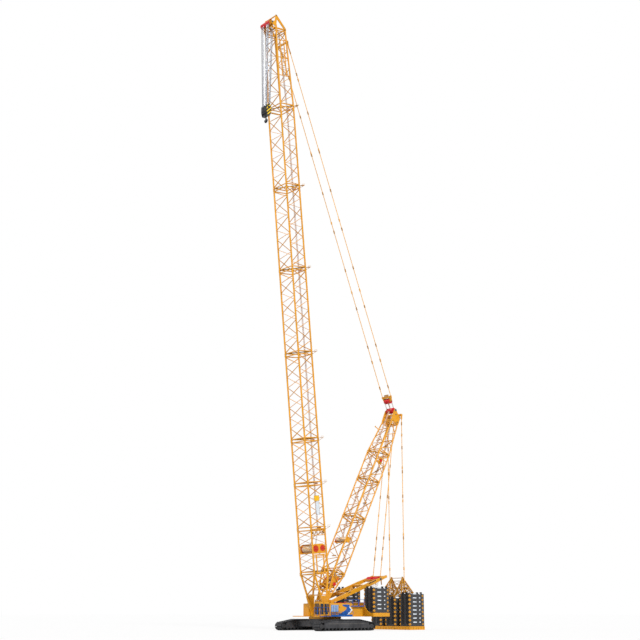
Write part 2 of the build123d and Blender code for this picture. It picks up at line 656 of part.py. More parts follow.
# ---------------------------------------------------------------- tray trestles and pendants
OUTER_TOP = tray_z + TRAY_OUTER_COUNT * SLAB_PITCH
MIDDLE_TOP = tray_z + TRAY_MIDDLE_COUNT * SLAB_PITCH
TRESTLE_TIP = (115.0, OUTER_TOP + 228)      # y and z of a trestle's tip
TRESTLE_TUBE = 12.0                         # side of a leg's square tube
RING_Z = OUTER_TOP + 91                     # height of the ring that ties the legs
FOOT_PAD = 5.0
RING_LUG = 22.0                             # lug above the ring that the pendant pulls on
# x from the tray's middle, y and the plate's top under each foot of a trestle
TRESTLE_FEET = [
    (118.0, 214.0, OUTER_TOP),
    (-118.0, 214.0, OUTER_TOP),
    (-118.0, 62.0, MIDDLE_TOP),
    (118.0, 62.0, MIDDLE_TOP),
]


def leg_at(foot, tip, z):
    """The point at height z on a leg from foot to tip."""
    share = (z - foot.Z) / (tip.Z - foot.Z)
    return foot + (tip - foot) * share


def trestle(s):
    """Four-legged lattice tower on the ballast that takes one pendant, s being 1 on the left."""
    tip = Vector(TRAY_X, s * TRESTLE_TIP[0], TRESTLE_TIP[1])
    feet = [Vector(TRAY_X + x, s * y, top + FOOT_PAD) for x, y, top in TRESTLE_FEET]
    parts = [bar(foot, tip, TRESTLE_TUBE) for foot in feet]
    ring = [leg_at(foot, tip, RING_Z) for foot in feet]
    for i in range(4):
        parts.append(bar(ring[i], ring[(i + 1) % 4], TRESTLE_TUBE - 2))
        parts.append(bar(feet[i], ring[(i + 1) % 4], TRESTLE_TUBE - 4))
        pad = Pos(feet[i].X, feet[i].Y, feet[i].Z - FOOT_PAD / 2 + SEAT)
        parts.append(pad * Box(22, 22, FOOT_PAD - SEAT))
    y = s * TRAY_PENDANT_Y
    parts.append(bar((ring[0].X, y, RING_Z), (ring[1].X, y, RING_Z), TRESTLE_TUBE))
    parts.append(box(TRAY_X - 3, TRAY_X + 3, y - 8, y + 8, RING_Z, RING_Z + RING_LUG))
    head = Pos(*tip) * Box(18, 18, 22)
    return head.fuse(*parts)


save("tray_trestles", trestle(1), trestle(-1))


def linked_bar(a, b, flat, links, link_size):
    """A flat pendant bar from a to b, with a connector at each joint between its lengths."""
    whole = bar(a, b, *flat)
    start, end = Vector(*a), Vector(*b)
    way = (end - start).normalized()
    joints = []
    for i in range(links):
        middle = start + (end - start) * ((i + 0.5) / links)
        joints.append(bar(middle - way * link_size * 1.4, middle + way * link_size * 1.4, link_size))
    return whole.fuse(*joints)


PENDANT_BAR = (5.0, 9.0)    # along Y and across
FORK = 5.0
EYE_PLATE = 8.0
EYE_PIN = 6.0
EYE_RADIUS = 12.0


def fork_end(at, way, y):
    """Twin cheek plates that hang on an eye plate at y, and the pin through them."""
    gap = EYE_PLATE / 2 + 1.0
    x, z = at[0], at[1]
    parts = []
    side = Vector(-way.Z, 0, way.X)
    for s in (-1, 1):
        a = Vector(x, 0, z) - way * 9
        b = Vector(x, 0, z) + way * 34
        points = [(p.X, p.Z) for p in (a + side * 9, b + side * 7, b - side * 7, a - side * 9)]
        parts.append(plate(points, y + s * (gap + FORK / 2), FORK))
    parts.append(axle(x, z, y - gap - FORK, y + gap + FORK, EYE_PIN))
    c = Vector(x, y, z) + way * 22
    d = Vector(x, y, z) + way * 36
    parts.append(bar(c, d, 2 * gap + 1, 12))
    return parts


down = Vector(0, 0, -1)
tray_bars = []
for s in (-1, 1):
    y = s * TRAY_PENDANT_Y
    x, z = TRAY_EYE_AT.X, TRAY_EYE_AT.Z
    hanger = fork_end((x, z), down, y)
    line = linked_bar((x, y, z - 30), (x, y, RING_Z + RING_LUG + SEAT), PENDANT_BAR, 5, 13)
    tray_bars.append(line.fuse(*hanger))
save("tray_pendants", *tray_bars)

# ---------------------------------------------------------------- boom


def tapered(share, start, end):
    """The value share of the way from start to end."""
    return start + (end - start) * share


FRONT = BOOM_OFFSET + BOOM_DEPTH / 2        # chord lines ahead of and behind the foot pin
REAR = BOOM_OFFSET - BOOM_DEPTH / 2


def foot_x(z, sign):
    """Ahead edge (sign 1) or rear edge (sign -1) of the boom foot at height z."""
    tip, end = (14.0, FRONT) if sign > 0 else (-14.0, REAR)
    return tapered(z / FOOT_LENGTH, tip, end)


def boom_foot():
    """Two plated legs that open out into four chords, tied by lacing above the legs."""
    solids = []
    chords = {}
    top = LEG_PLATE_TOP
    for s in (-1, 1):
        y = s * BOOM_Y
        outline = [(foot_x(0, -1), -6), (foot_x(0, 1), -6),
                   (foot_x(top, 1) + 4, top), (foot_x(top, -1) - 4, top)]
        leg = eye_plate(outline, (0, 0), BOSS_RADIUS, PIN_RADIUS + PIN_PLAY, y, LEG_THICKNESS)
        ends = []
        for sign in (1, -1):
            a = Vector(foot_x(top - 40, sign) - sign * CHORD_RADIUS, y, top - 40)
            b = Vector(foot_x(FOOT_LENGTH, sign), y, FOOT_LENGTH)
            ends.append(chord_tube(a, b, CHORD_RADIUS))
            chords[s, sign] = (a, b)
        solids.append(leg.fuse(*ends))

    first = chords[1, 1][0].Z

    def share(z):
        return (z - first) / (FOOT_LENGTH - first)

    top = FOOT_LENGTH - LACING
    # face, its two chords, lowest rung and bays of its zigzag
    faces = [
        ((-1, 1), (1, 1), 262.0, 2),
        ((-1, -1), (1, -1), 322.0, 2),
        ((1, 1), (1, -1), 262.0, 3),
        ((-1, 1), (-1, -1), 262.0, 3),
    ]
    for one, other, low, bays in faces:
        rungs = share(low), share(top)
        knots = share(low + LACING), share(top - LACING)
        solids.append(ladder(chords[one], chords[other], rungs, knots, bays, CHORD_RADIUS, LACING))
    return solids


save("boom_foot", *[BOOM_FRAME * solid for solid in boom_foot()])


def section(start, length, faces="front rear left right"):
    """A straight boom piece from start to start + length along the boom."""
    foot = (BOOM_OFFSET, BOOM_DEPTH, BOOM_WIDTH, start + SEAT)
    head = (BOOM_OFFSET, BOOM_DEPTH, BOOM_WIDTH, start + length)
    return lattice(foot, head, round(length / BAY), CHORD_RADIUS, LACING, faces)


base = section(FOOT_LENGTH, BASE_LENGTH, "front rear right")
WINCH_AT = FOOT_LENGTH + 320.0
# the left face is open beside the winch: three rungs and two posts below it
left_chords = [[Vector(x, BOOM_Y, z) for z in (FOOT_LENGTH + SEAT, FOOT_LENGTH + BASE_LENGTH)]
               for x in (FRONT, REAR)]
rung = LACING / (BASE_LENGTH - SEAT)
post_top = WINCH_AT - 74
rungs = (rung, (post_top - FOOT_LENGTH) / BASE_LENGTH, 1 - rung)
side = ladder(*left_chords, rungs, (rung, rung), 0, CHORD_RADIUS, LACING)
posts = [bar((BOOM_OFFSET + x, BOOM_Y, FOOT_LENGTH + LACING), (BOOM_OFFSET + x, BOOM_Y, post_top),
             LACING + 3) for x in (-42.0, 42.0)]
lower = side.solids().sort_by(Axis.Z)
base += [lower[0].fuse(lower[1], *posts), lower[2]]
save("boom_base", *[BOOM_FRAME * solid for solid in base])

WINCH_PLATE = 10.0
# x ahead of the boom's middle, height above the winch's middle, drum and flange radius
BOOM_DRUMS = [
    (52.0, 4.0, 40.0, 50.0),
    (-56.0, 8.0, 30.0, 42.0),
]
chord_seat = wall_at(LACING / 2 + 1, CHORD_RADIUS) + SEAT
inner_face = BOOM_Y - chord_seat - WINCH_PLATE
half = BOOM_DEPTH / 2 - LACING / 2 - 1
points = [(BOOM_OFFSET - half, WINCH_AT - 62), (BOOM_OFFSET + half, WINCH_AT - 62),
          (BOOM_OFFSET + half, WINCH_AT + 40), (BOOM_OFFSET + half - 40, WINCH_AT + 66),
          (BOOM_OFFSET - half + 40, WINCH_AT + 66), (BOOM_OFFSET - half, WINCH_AT + 40)]
winch_plates = [plate(points, s * (inner_face + WINCH_PLATE / 2), WINCH_PLATE) for s in (-1, 1)]
cross = [tie(BOOM_OFFSET + x, WINCH_AT - 50, -inner_face - 1, inner_face + 1, 7) for x in (-90, 90)]
boom_winch = [winch_plates[0].fuse(winch_plates[1], *cross)]
for x, z, core, flange in BOOM_DRUMS:
    boom_winch.append(winch(BOOM_OFFSET + x, WINCH_AT + z, inner_face - SEAT, core, flange))
save("boom_winch", *[BOOM_FRAME * solid for solid in boom_winch])

at = FOOT_LENGTH + BASE_LENGTH
for name, length in BOOM_INSERTS:
    save(name, *[BOOM_FRAME * solid for solid in section(at, length)])
    at += length

# ---------------------------------------------------------------- boom head
HEAD_FOOT = (BOOM_OFFSET, BOOM_DEPTH, BOOM_WIDTH, HEAD_START + SEAT)
HEAD_END = (BOOM_OFFSET, HEAD_DEPTH, HEAD_WIDTH, HEAD_TOP)
head = lattice(HEAD_FOOT, HEAD_END, 8, CHORD_RADIUS, LACING)
save("boom_head", *[BOOM_FRAME * solid for solid in head])

SIDE_PLATE = 10.0
SIDE_FRAME_Y = HEAD_WIDTH / 2
HEAD_FRONT = BOOM_OFFSET + HEAD_DEPTH / 2
HEAD_REAR = BOOM_OFFSET - HEAD_DEPTH / 2
APEX = (HEAD_FRONT - 18, HEAD_TOP + APEX_RISE)
PACK_HALF = HEAD_WIDTH / 2 - 24
JIB_BORE = 9.0
JIB_EYE = (12.0, 36.0)      # ahead of the front chords, above their ends


def side_frame(s):
    """Triangular frame on top of the head chords, with a nose that holds the sheave axle."""
    y = s * SIDE_FRAME_Y
    low = HEAD_TOP + SEAT
    outer = [(HEAD_REAR - 16, low), (HEAD_FRONT + 16, low), (HEAD_FRONT + 30, AXLE_Z - 46),
             (AXLE_X + 14, AXLE_Z - 20), (AXLE_X + 16, AXLE_Z + 12), (AXLE_X - 12, AXLE_Z + 18),
             (HEAD_FRONT + 14, AXLE_Z + 22), (APEX[0] + 9, APEX[1]), (APEX[0] - 9, APEX[1]),
             (HEAD_REAR - 16, low + 26)]
    window = [(HEAD_REAR + 22, low + 22), (HEAD_FRONT - 18, low + 22),
              (HEAD_FRONT - 12, AXLE_Z - 10), (APEX[0] - 8, APEX[1] - 62)]
    whole = plate(outer, y, SIDE_PLATE) - plate(window, y, 2 * SIDE_PLATE)
    jib_eye = (HEAD_FRONT + JIB_EYE[0], low + JIB_EYE[1])
    return whole - axle(*jib_eye, y - 20, y + 20, JIB_BORE)


AXLE_RADIUS = 8.0
NOSE_RIB = 8.0
inner_y = SIDE_FRAME_Y - SIDE_PLATE / 2
# x, z of the square tubes that tie the two side plates
HEAD_TIES = [
    (APEX[0], APEX[1] - 12),
    (HEAD_REAR, HEAD_TOP + 16),
    (HEAD_FRONT - 4, HEAD_TOP + 14),
]
cross = [box(x - 7, x + 7, -inner_y - 1, inner_y + 1, z - 7, z + 7) for x, z in HEAD_TIES]
# curved ribs that carry the rope guard under the sheaves
below = AXLE_Z - HEAD_SHEAVE_RADIUS - 6
rib = [(HEAD_FRONT - 4, HEAD_TOP + 8), (HEAD_FRONT + 24, HEAD_TOP + 2), (HEAD_FRONT + 44, HEAD_TOP + 8),
       (AXLE_X - 3, below - 18), (AXLE_X + 4, below), (AXLE_X - 14, below),
       (HEAD_FRONT + 32, HEAD_TOP + 22), (HEAD_FRONT - 4, HEAD_TOP + 26)]
ribs = [plate(rib, y * PACK_HALF, NOSE_RIB) for y in (-1, -1 / 3, 1 / 3, 1)]
guard = tie(AXLE_X - 5, below - 4, -inner_y - 1, inner_y + 1, 6)
axle_bar = axle(AXLE_X, AXLE_Z, -inner_y - 1, inner_y + 1, AXLE_RADIUS - PIN_PLAY)
head_frame = side_frame(1).fuse(side_frame(-1), *cross, *ribs, guard, axle_bar)
save("boom_head_frame", BOOM_FRAME * head_frame)
pack = sheave_pack(AXLE_X, AXLE_Z, -PACK_HALF, PACK_HALF, HEAD_SHEAVE_RADIUS, 7)
pack -= axle(AXLE_X, AXLE_Z, -PACK_HALF - 1, PACK_HALF + 1, AXLE_RADIUS)
save("head_sheaves", BOOM_FRAME * pack)

# pendant eyes on a cross beam between the rear chords
PENDANT_Z = HEAD_TOP - PENDANT_DROP
share = (PENDANT_Z - HEAD_START) / HEAD_LENGTH
rear_chord = tapered(share, REAR, HEAD_REAR)
chord_y = tapered(share, BOOM_Y, HEAD_WIDTH / 2)
PENDANT_EYE = (rear_chord - PENDANT_REACH, PENDANT_Z)
BEAM_HEIGHT = 26.0
BEAM_DEPTH = 15.0
chord_slope = (HEAD_REAR - REAR) / HEAD_LENGTH
beam_front = rear_chord - CHORD_RADIUS - SEAT - chord_slope * BEAM_HEIGHT / 2
beam_rear = beam_front - BEAM_DEPTH
eyes = []
for s in (-1, 1):
    ex, ez = PENDANT_EYE
    outline = [(beam_rear + 4, ez + 22), (beam_rear + 4, ez - 22), (ex - 2, ez - 11), (ex - 2, ez + 11)]
    eyes.append(eye_plate(outline, PENDANT_EYE, EYE_RADIUS, EYE_PIN + PIN_PLAY, s * PENDANT_Y, EYE_PLATE))
beam_y = chord_y + CHORD_RADIUS
beam = box(beam_rear, beam_front, -beam_y, beam_y, ez - BEAM_HEIGHT / 2, ez + BEAM_HEIGHT / 2)
save("pendant_beam", BOOM_FRAME * beam.fuse(*eyes))
PENDANT_EYE_AT = in_frame(BOOM_FRAME, PENDANT_EYE[0], 0, PENDANT_EYE[1])

# ---------------------------------------------------------------- boom pendants and luffing block
LINE = MAST_AXLE_AT - PENDANT_EYE_AT
LINE = Vector(LINE.X, 0, LINE.Z)
WAY = LINE.normalized()
BLOCK_AT = PENDANT_EYE_AT + WAY * (LINE.length - LUFF_GAP)
YOKE_AT = PENDANT_EYE_AT + WAY * (LINE.length - LUFF_GAP - 78)
BLOCK_SHEAVE_RADIUS = 36.0
lines = []
for s in (-1, 1):
    y = s * PENDANT_Y
    start = PENDANT_EYE_AT + WAY * 30 + Vector(0, y, 0)
    end = YOKE_AT - WAY * 2 * SEAT + Vector(0, y, 0)
    fork = fork_end((PENDANT_EYE_AT.X, PENDANT_EYE_AT.Z), WAY, y)
    lines.append(linked_bar(start, end, PENDANT_BAR, 5, 14).fuse(*fork))
save("boom_pendants", *lines)
sideways = Vector(-WAY.Z, 0, WAY.X)


def in_line(across, ahead):
    """An x, z point beside the yoke, measured across and along the pendant line."""
    point = YOKE_AT + sideways * across + WAY * ahead
    return (point.X, point.Z)


YOKE_CHEEK_Y = 62.0
CHEEK = 8.0
yoke_bar = [in_line(-9, 0), in_line(9, 0), in_line(9, 20), in_line(-9, 20)]
yoke = plate(yoke_bar, 0, 2 * PENDANT_Y + 20)
cheek = [in_line(-16, 4), in_line(16, 4), in_line(20, 84), in_line(-20, 84)]
save("luffing_yoke", yoke.fuse(*[plate(cheek, y, CHEEK) for y in (-YOKE_CHEEK_Y, YOKE_CHEEK_Y)]))
pack_end = YOKE_CHEEK_Y - CHEEK / 2 - SEAT
save("luffing_sheaves", sheave_pack(BLOCK_AT.X, BLOCK_AT.Z, -pack_end, pack_end, BLOCK_SHEAVE_RADIUS, 4))

# ---------------------------------------------------------------- hook block and hook
hook_x = HEAD_AXLE_AT.X
bottom = HOOK_BLOCK_TOP - HOOK_BLOCK_HEIGHT
half = HOOK_BLOCK_LENGTH / 2
narrow = 0.6 * half
block_z = HOOK_BLOCK_TOP - 52
outer_y = HOOK_BLOCK_WIDTH / 2
SHANK_BORE = 9.0
CROSSHEAD = 34.0            # height of the block's crosshead
cheek = [(hook_x - narrow, bottom), (hook_x + narrow, bottom), (hook_x + half, bottom + 60),
         (hook_x + half, HOOK_BLOCK_TOP - 30), (hook_x + 0.8 * half, HOOK_BLOCK_TOP - 12),
         (hook_x + 0.4 * half, HOOK_BLOCK_TOP), (hook_x - 0.4 * half, HOOK_BLOCK_TOP),
         (hook_x - 0.8 * half, HOOK_BLOCK_TOP - 12), (hook_x - half, HOOK_BLOCK_TOP - 30),
         (hook_x - half, bottom + 60)]
shell = box(hook_x - 20, hook_x + 20, -outer_y, outer_y, bottom, bottom + CROSSHEAD)
weights = box(hook_x - half + 6, hook_x + half - 6, -outer_y + 2, outer_y - 2, bottom + 40, bottom + 72)
shell = shell.fuse(weights, *[plate(cheek, y, CHEEK) for y in (-outer_y + 4, 0, outer_y - 4)])
shell -= Pos(hook_x, 0, bottom + 17) * Cylinder(SHANK_BORE, CROSSHEAD + 2)
nut_height = 8.0
shell -= Pos(hook_x, 0, bottom + CROSSHEAD + nut_height / 2) * Box(36, 36, 2 * nut_height)
save("hook_block", shell)
packs = []
for y0, y1 in ((CHEEK / 2 + SEAT, outer_y - CHEEK - SEAT), (-outer_y + CHEEK + SEAT, -CHEEK / 2 - SEAT)):
    packs.append(sheave_pack(hook_x, block_z, y0, y1, 34, 2))
save("hook_sheaves", *packs)

HOOK_Z = bottom - 62.0
HOOK_THICKNESS = 22.0
HOOK_RADIUS = 38.0
THROAT_RADIUS = 15.0
hook_outline = Circle(HOOK_RADIUS) - Pos(0, -22) * RegularPolygon(6, ROD_SIDES)
for s in (-1, 1):
    hook_outline -= Pos(s * 20, 12) * Circle(THROAT_RADIUS)
    hook_outline -= Pos(s * 26, 30) * Rectangle(20, 30)
hook_outline += Pos(0, 26) * Rectangle(14, 44)
hook_plane = Plane.YZ.offset(hook_x) * Pos(0, HOOK_Z)
hook = extrude(hook_plane * hook_outline, amount=HOOK_THICKNESS / 2, both=True)
nut_base = bottom + CROSSHEAD + SEAT
shank_low, shank_top = HOOK_Z + 30, nut_base + nut_height
shank = Pos(hook_x, 0, (shank_low + shank_top) / 2) * Cylinder(SHANK_BORE - PIN_PLAY, shank_top - shank_low)
nut = Pos(hook_x, 0, nut_base) * extrude(RegularPolygon(14, 6), amount=nut_height)
save("ramshorn_hook", hook.fuse(shank, nut))

# ---------------------------------------------------------------- derrick mast
MAST_FOOT_TUBE = MAST_CHORD_RADIUS - 2
MAST_LEG_TIP = 22.0                         # chords spring from the leg plates here
FOOT_KNEE = MAST_LEG_TOP - 26


def mast_foot():
    """Two short plated legs that open out into the four chords of the mast."""
    solids = []
    chords = {}
    for s in (-1, 1):
        y = s * MAST_FOOT_Y
        outline = [(-12, -6), (12, -6), (34, MAST_LEG_TOP), (-34, MAST_LEG_TOP)]
        leg = eye_plate(outline, (0, 0), BOSS_RADIUS, PIN_RADIUS + PIN_PLAY, y, MAST_LEG_THICKNESS)
        rods = []
        for sign in (1, -1):
            a = Vector(sign * MAST_LEG_TIP, y, FOOT_KNEE)
            b = Vector(sign * MAST_DEPTH / 2, s * MAST_WIDTH / 2, MAST_FOOT_LENGTH)
            rods.append(chord_tube(a, b, MAST_FOOT_TUBE))
            chords[s, sign] = (a, b)
        solids.append(leg.fuse(*rods))

    def share(z):
        return (z - FOOT_KNEE) / (MAST_FOOT_LENGTH - FOOT_KNEE)

    low, top = 166.0, MAST_FOOT_LENGTH - LACING
    rungs = share(low), share(top)
    knots = share(low + LACING), share(top - LACING)
    # the two chords of each face and the bays of its zigzag
    faces = [((-1, 1), (1, 1), 1), ((-1, -1), (1, -1), 1), ((1, 1), (1, -1), 2), ((-1, 1), (-1, -1), 2)]
    for one, other, bays in faces:
        solids.append(ladder(chords[one], chords[other], rungs, knots, bays, MAST_FOOT_TUBE, LACING))
    return solids


save("mast_foot", *[MAST_FRAME * solid for solid in mast_foot()])
at = MAST_FOOT_LENGTH
for name, length in MAST_SECTIONS:
    foot = (0, MAST_DEPTH, MAST_WIDTH, at + SEAT)
    head = (0, MAST_DEPTH, MAST_WIDTH, at + length)
    solids = lattice(foot, head, round(length / BAY), MAST_CHORD_RADIUS, LACING)
    save(name, *[MAST_FRAME * solid for solid in solids])
    at += length

foot = (0, MAST_DEPTH, MAST_WIDTH, at + SEAT)
HEAD_PLATE_LOW = MAST_TOP - 120
head = (0, MAST_HEAD_DEPTH, MAST_HEAD_WIDTH, HEAD_PLATE_LOW)
solids = lattice(foot, head, 4, MAST_CHORD_RADIUS, LACING, "front left right")


def rear_chord_line(s):
    """The line of a rear chord of the tapered head piece, s being 1 on the left."""
    return [Vector(-end[1] / 2, s * end[2] / 2, end[3]) for end in (foot, head)]


# the stays leave through the open upper half of the rear face
rung = LACING / (head[3] - foot[3])
solids.append(ladder(rear_chord_line(-1), rear_chord_line(1), (rung, 0.5, 1 - rung),
                     (2 * rung, 0.5 - rung), 2, MAST_CHORD_RADIUS, LACING))
save("mast_head_lattice", *[MAST_FRAME * solid for solid in solids])

# plated mast head with the luffing sheaves, the stay eyes and the tray eyes
HEAD_Y = MAST_HEAD_WIDTH / 2
HEAD_PLATE = 12.0
low = HEAD_PLATE_LOW + SEAT
half = MAST_HEAD_DEPTH / 2
head_plate = [(-half - 14, low), (half + 14, low), (half + 24, MAST_TOP + 10),
              (MAST_AXLE[0] + 20, MAST_AXLE[1] + 4), (MAST_AXLE[0] + 4, MAST_AXLE[1] + 20),
              (MAST_AXLE[0] - 16, MAST_AXLE[1] + 14), (20, MAST_TOP + 40), (-30, MAST_TOP + 24),
              (-half - 6, MAST_TOP)]
# x, z of the square tubes that tie the two head plates
MAST_HEAD_TIES = [
    (-half + 4, low + 16),
    (half - 4, low + 16),
    (-half + 20, MAST_TOP - 34),
    (MAST_AXLE[0] - 6, MAST_TOP - 24),
]
pieces = [plate(head_plate, s * HEAD_Y, HEAD_PLATE) for s in (-1, 1)]
pieces += [box(x - 8, x + 8, -HEAD_Y, HEAD_Y, z - 8, z + 8) for x, z in MAST_HEAD_TIES]
pieces.append(axle(*STAY_EYE, -HEAD_Y + 2, HEAD_Y - 2, EYE_PIN))
ex, ez = TRAY_EYE
eye_outline = [(ex - 4, ez + 40), (ex + 24, ez + 40), (ex + 11, ez - 2), (ex - 11, ez - 2)]
for s in (-1, 1):
    reach = s * (TRAY_PENDANT_Y + EYE_PLATE / 2)
    pieces.append(box(ex - 4, ex + 24, *sorted((s * HEAD_Y, reach)), ez + 20, ez + 40))
    pieces.append(eye_plate(eye_outline, TRAY_EYE, EYE_RADIUS, EYE_PIN + PIN_PLAY,
                            s * TRAY_PENDANT_Y, EYE_PLATE))
save("mast_head", MAST_FRAME * pieces[0].fuse(*pieces[1:]))
# the luffing sheaves turn on one axle held between the head plates
axle_end, pack_end = HEAD_Y - HEAD_PLATE / 2 - SEAT, HEAD_Y - 34
stations = sheave_stations(-pack_end, pack_end, MAST_SHEAVE_RADIUS, 4)
stations = [(-axle_end, 9), (-pack_end - 1, 9)] + stations + [(pack_end + 1, 9), (axle_end, 9)]
save("mast_head_sheaves", MAST_FRAME * drum(*MAST_AXLE, stations))


def foot_chord(z):
    """How far ahead of the middle and how far out a chord of the mast foot lies at height z."""
    share = (z - FOOT_KNEE) / (MAST_FOOT_LENGTH - FOOT_KNEE)
    ahead = tapered(share, MAST_LEG_TIP, MAST_DEPTH / 2)
    return ahead, tapered(share, MAST_FOOT_Y, MAST_WIDTH / 2)


CARRIER_Y = 90.0
CARRIER = 7.0
# x, height, drum and flange radius of the two winches in the mast foot
MAST_DRUMS = [
    (4.0, 250.0, 24.0, 33.0),
    (-12.0, 336.0, 26.0, 36.0),
]
# height and side, ahead 1 or behind -1, of the ties that hold their carriers to the chords
CARRIER_TIES = [
    (216.0, -1),
    (376.0, -1),
    (236.0, 1),
]
outline = [(-34, 206), (-64, 386), (4, 386), (42, 300), (36, 226), (20, 206)]
pieces = [plate(outline, s * CARRIER_Y, CARRIER) for s in (-1, 1)]
for z, sign in CARRIER_TIES:
    ahead, out = foot_chord(z)
    offset = LACING / 2 + 2.5
    reach = out - wall_at(offset - 1.3, MAST_FOOT_TUBE) - 3 * SEAT
    near, far = sign * (ahead - offset), sign * (ahead - offset - LACING)
    pieces.append(box(near, far, -reach, reach, z - LACING / 2, z + LACING / 2))
mast_winches = [pieces[0].fuse(*pieces[1:])]
drum_reach = CARRIER_Y - CARRIER / 2 - SEAT
for x, z, core, flange in MAST_DRUMS:
    mast_winches.append(winch(x, z, drum_reach, core, flange))
# the third winch, between the side faces of the mast base
THIRD_WINCH = (44.0, MAST_FOOT_LENGTH + 480, 25.0, 35.0)
x, z, core, flange = THIRD_WINCH
outline = [(x - 30, z - 46), (x + 30, z - 46), (x + 20, z + 24), (x - 20, z + 24)]
carrier_y = MAST_WIDTH / 2 - LACING / 2 - SEAT - CARRIER / 2
carriers = [plate(outline, s * carrier_y, CARRIER) for s in (-1, 1)]
foot_tie = box(x - 8, x + 8, -carrier_y, carrier_y, z - 46, z - 38)
mast_winches.append(carriers[0].fuse(carriers[1], foot_tie))
mast_winches.append(winch(x, z, carrier_y - CARRIER / 2 - SEAT, core, flange))
save("mast_winches", *[MAST_FRAME * solid for solid in mast_winches])

# ---------------------------------------------------------------- gantry
GANTRY_RUN = Vector(GANTRY_HEAD[0] - GANTRY_PIN[0], 0, GANTRY_HEAD[1] - GANTRY_PIN[1])
GANTRY_LENGTH = GANTRY_RUN.length
GANTRY_LEAN = math.degrees(math.atan2(GANTRY_RUN.X, GANTRY_RUN.Z))
GANTRY_FRAME = turned(GANTRY_PIN, GANTRY_LEAN)
GANTRY_SHEAVE_Z = GANTRY_LENGTH - 62
GANTRY_WIDE = (0.14 * GANTRY_LENGTH, 0.76 * GANTRY_LENGTH)      # a leg is deepest between these
# height along the leg and side of the square tubes that tie the two legs
GANTRY_TIES = [
    (0.33 * GANTRY_LENGTH, 26.0),
    (0.66 * GANTRY_LENGTH, 26.0),
    (GANTRY_SHEAVE_Z - 62, 22.0),
    (GANTRY_LENGTH + 44, 18.0),
]
HORN_Y = 60.0               # curved arms behind the head tie
HORN = 8.0
end = GANTRY_LENGTH + GANTRY_TIP
inner = GANTRY_Y - GANTRY_THICKNESS / 2
low, high = GANTRY_WIDE
leg = [(-17, 0), (-27, low), (-27, high), (-17, end), (15, end), (24, high), (24, low), (17, 0)]
stay_eye = [(-10, GANTRY_LENGTH + 44), (-10, GANTRY_LENGTH - 8), (14, GANTRY_LENGTH - 12),
            (22, GANTRY_LENGTH), (14, GANTRY_LENGTH + 12), (8, GANTRY_LENGTH + 44)]
horn = [(-18, GANTRY_LENGTH + 40), (-34, GANTRY_LENGTH + 31), (-60, GANTRY_LENGTH + 19),
        (-104, GANTRY_LENGTH + 8), (-104, GANTRY_LENGTH - 2), (-62, GANTRY_LENGTH + 4),
        (-28, GANTRY_LENGTH + 17), (-4, GANTRY_LENGTH + 36)]
pieces = []
for z, size in GANTRY_TIES:
    pieces.append(box(-size / 2, size / 2, -inner - 1, inner + 1, z - size / 2, z + size / 2))
for s in (-1, 1):
    pieces.append(eye_plate(leg, (0, 0), BOSS_RADIUS, PIN_RADIUS + PIN_PLAY, s * GANTRY_Y, GANTRY_THICKNESS))
    pieces.append(plate(stay_eye, s * STAY_Y, EYE_PLATE))
    pieces.append(plate(horn, s * HORN_Y, HORN))
save("gantry", GANTRY_FRAME * pieces[0].fuse(*pieces[1:]))
# both groups of rope sheaves turn on one axle held between the legs
GANTRY_SHEAVE = 34.0
axle_end, pack_out, pack_in = inner - SEAT, inner - 13, 12
right = sheave_stations(-pack_out, -pack_in, GANTRY_SHEAVE, 3)
left = sheave_stations(pack_in, pack_out, GANTRY_SHEAVE, 3)
stations = [(-axle_end, 8), (-pack_out - 1, 8)] + right + [(-pack_in + 1, 8), (pack_in - 1, 8)]
stations += left + [(pack_out + 1, 8), (axle_end, 8)]
save("gantry_sheaves", GANTRY_FRAME * drum(0, GANTRY_SHEAVE_Z, stations))

# stays between the mast head and the gantry head
stay_foot = Vector(GANTRY_HEAD[0], 0, GANTRY_HEAD[1])
stay_head = Vector(STAY_EYE_AT.X, 0, STAY_EYE_AT.Z)
STAY_WAY = (stay_foot - stay_head).normalized()
STAY_SHIFT = 14.0           # a stay lies this far inside the eye plate it ends beside
stays = []
for s in (-1, 1):
    y = s * (STAY_Y - STAY_SHIFT)
    across = Vector(0, y, 0)
    start, stop = stay_head + STAY_WAY * (EYE_RADIUS - 2) + across, stay_foot - STAY_WAY * 4 + across
    eye = tie(stay_head.X, stay_head.Z, y - 5, y + 5, EYE_RADIUS)
    eye -= axle(stay_head.X, stay_head.Z, y - 6, y + 6, EYE_PIN + PIN_PLAY)
    stays.append(eye.fuse(linked_bar(start, stop, PENDANT_BAR, 4, 12), bar(stop, stop + STAY_WAY * 14, 18)))
save("mast_stays", *stays)

# ---------------------------------------------------------------- cab
cab_rear = CAB_FRONT - CAB_LENGTH
cab_outer = CAB_INNER_Y + CAB_WIDTH
floor_z = DECK_TOP + SEAT
floor_top = floor_z + CAB_FLOOR
roof_z = CAB_TOP - ROOF_PLATE
wall_low, wall_high = floor_top + SEAT, roof_z
sill = wall_low + 44                        # lower edge of the side windows
lintel = wall_high - 12
pillar_x = cab_rear + 92                    # rear edge of the front side window's pillar
save("cab_floor", box(cab_rear, CAB_FRONT - 8, CAB_INNER_Y, cab_outer, floor_z, floor_top))

# the roof carries the rail that the door slides on
rail_low = roof_z - 4
rail_out = cab_outer + 2 * CAB_WALL
roof = box(cab_rear - 3, CAB_FRONT + 5, CAB_INNER_Y - 1, cab_outer + 1, roof_z + SEAT, CAB_TOP)
roof = chamfer(roof.edges().filter_by(Axis.Y).group_by(Axis.Z)[-1], 4)
rail = box(cab_rear + 2 - DOOR_TRAVEL, pillar_x, cab_outer + CAB_WALL, rail_out, rail_low, roof_z - 1)
hang = box(cab_rear - 2, pillar_x, cab_outer + SEAT, rail_out, roof_z - 1, roof_z + 4)
save("cab_roof", roof.fuse(rail, hang))

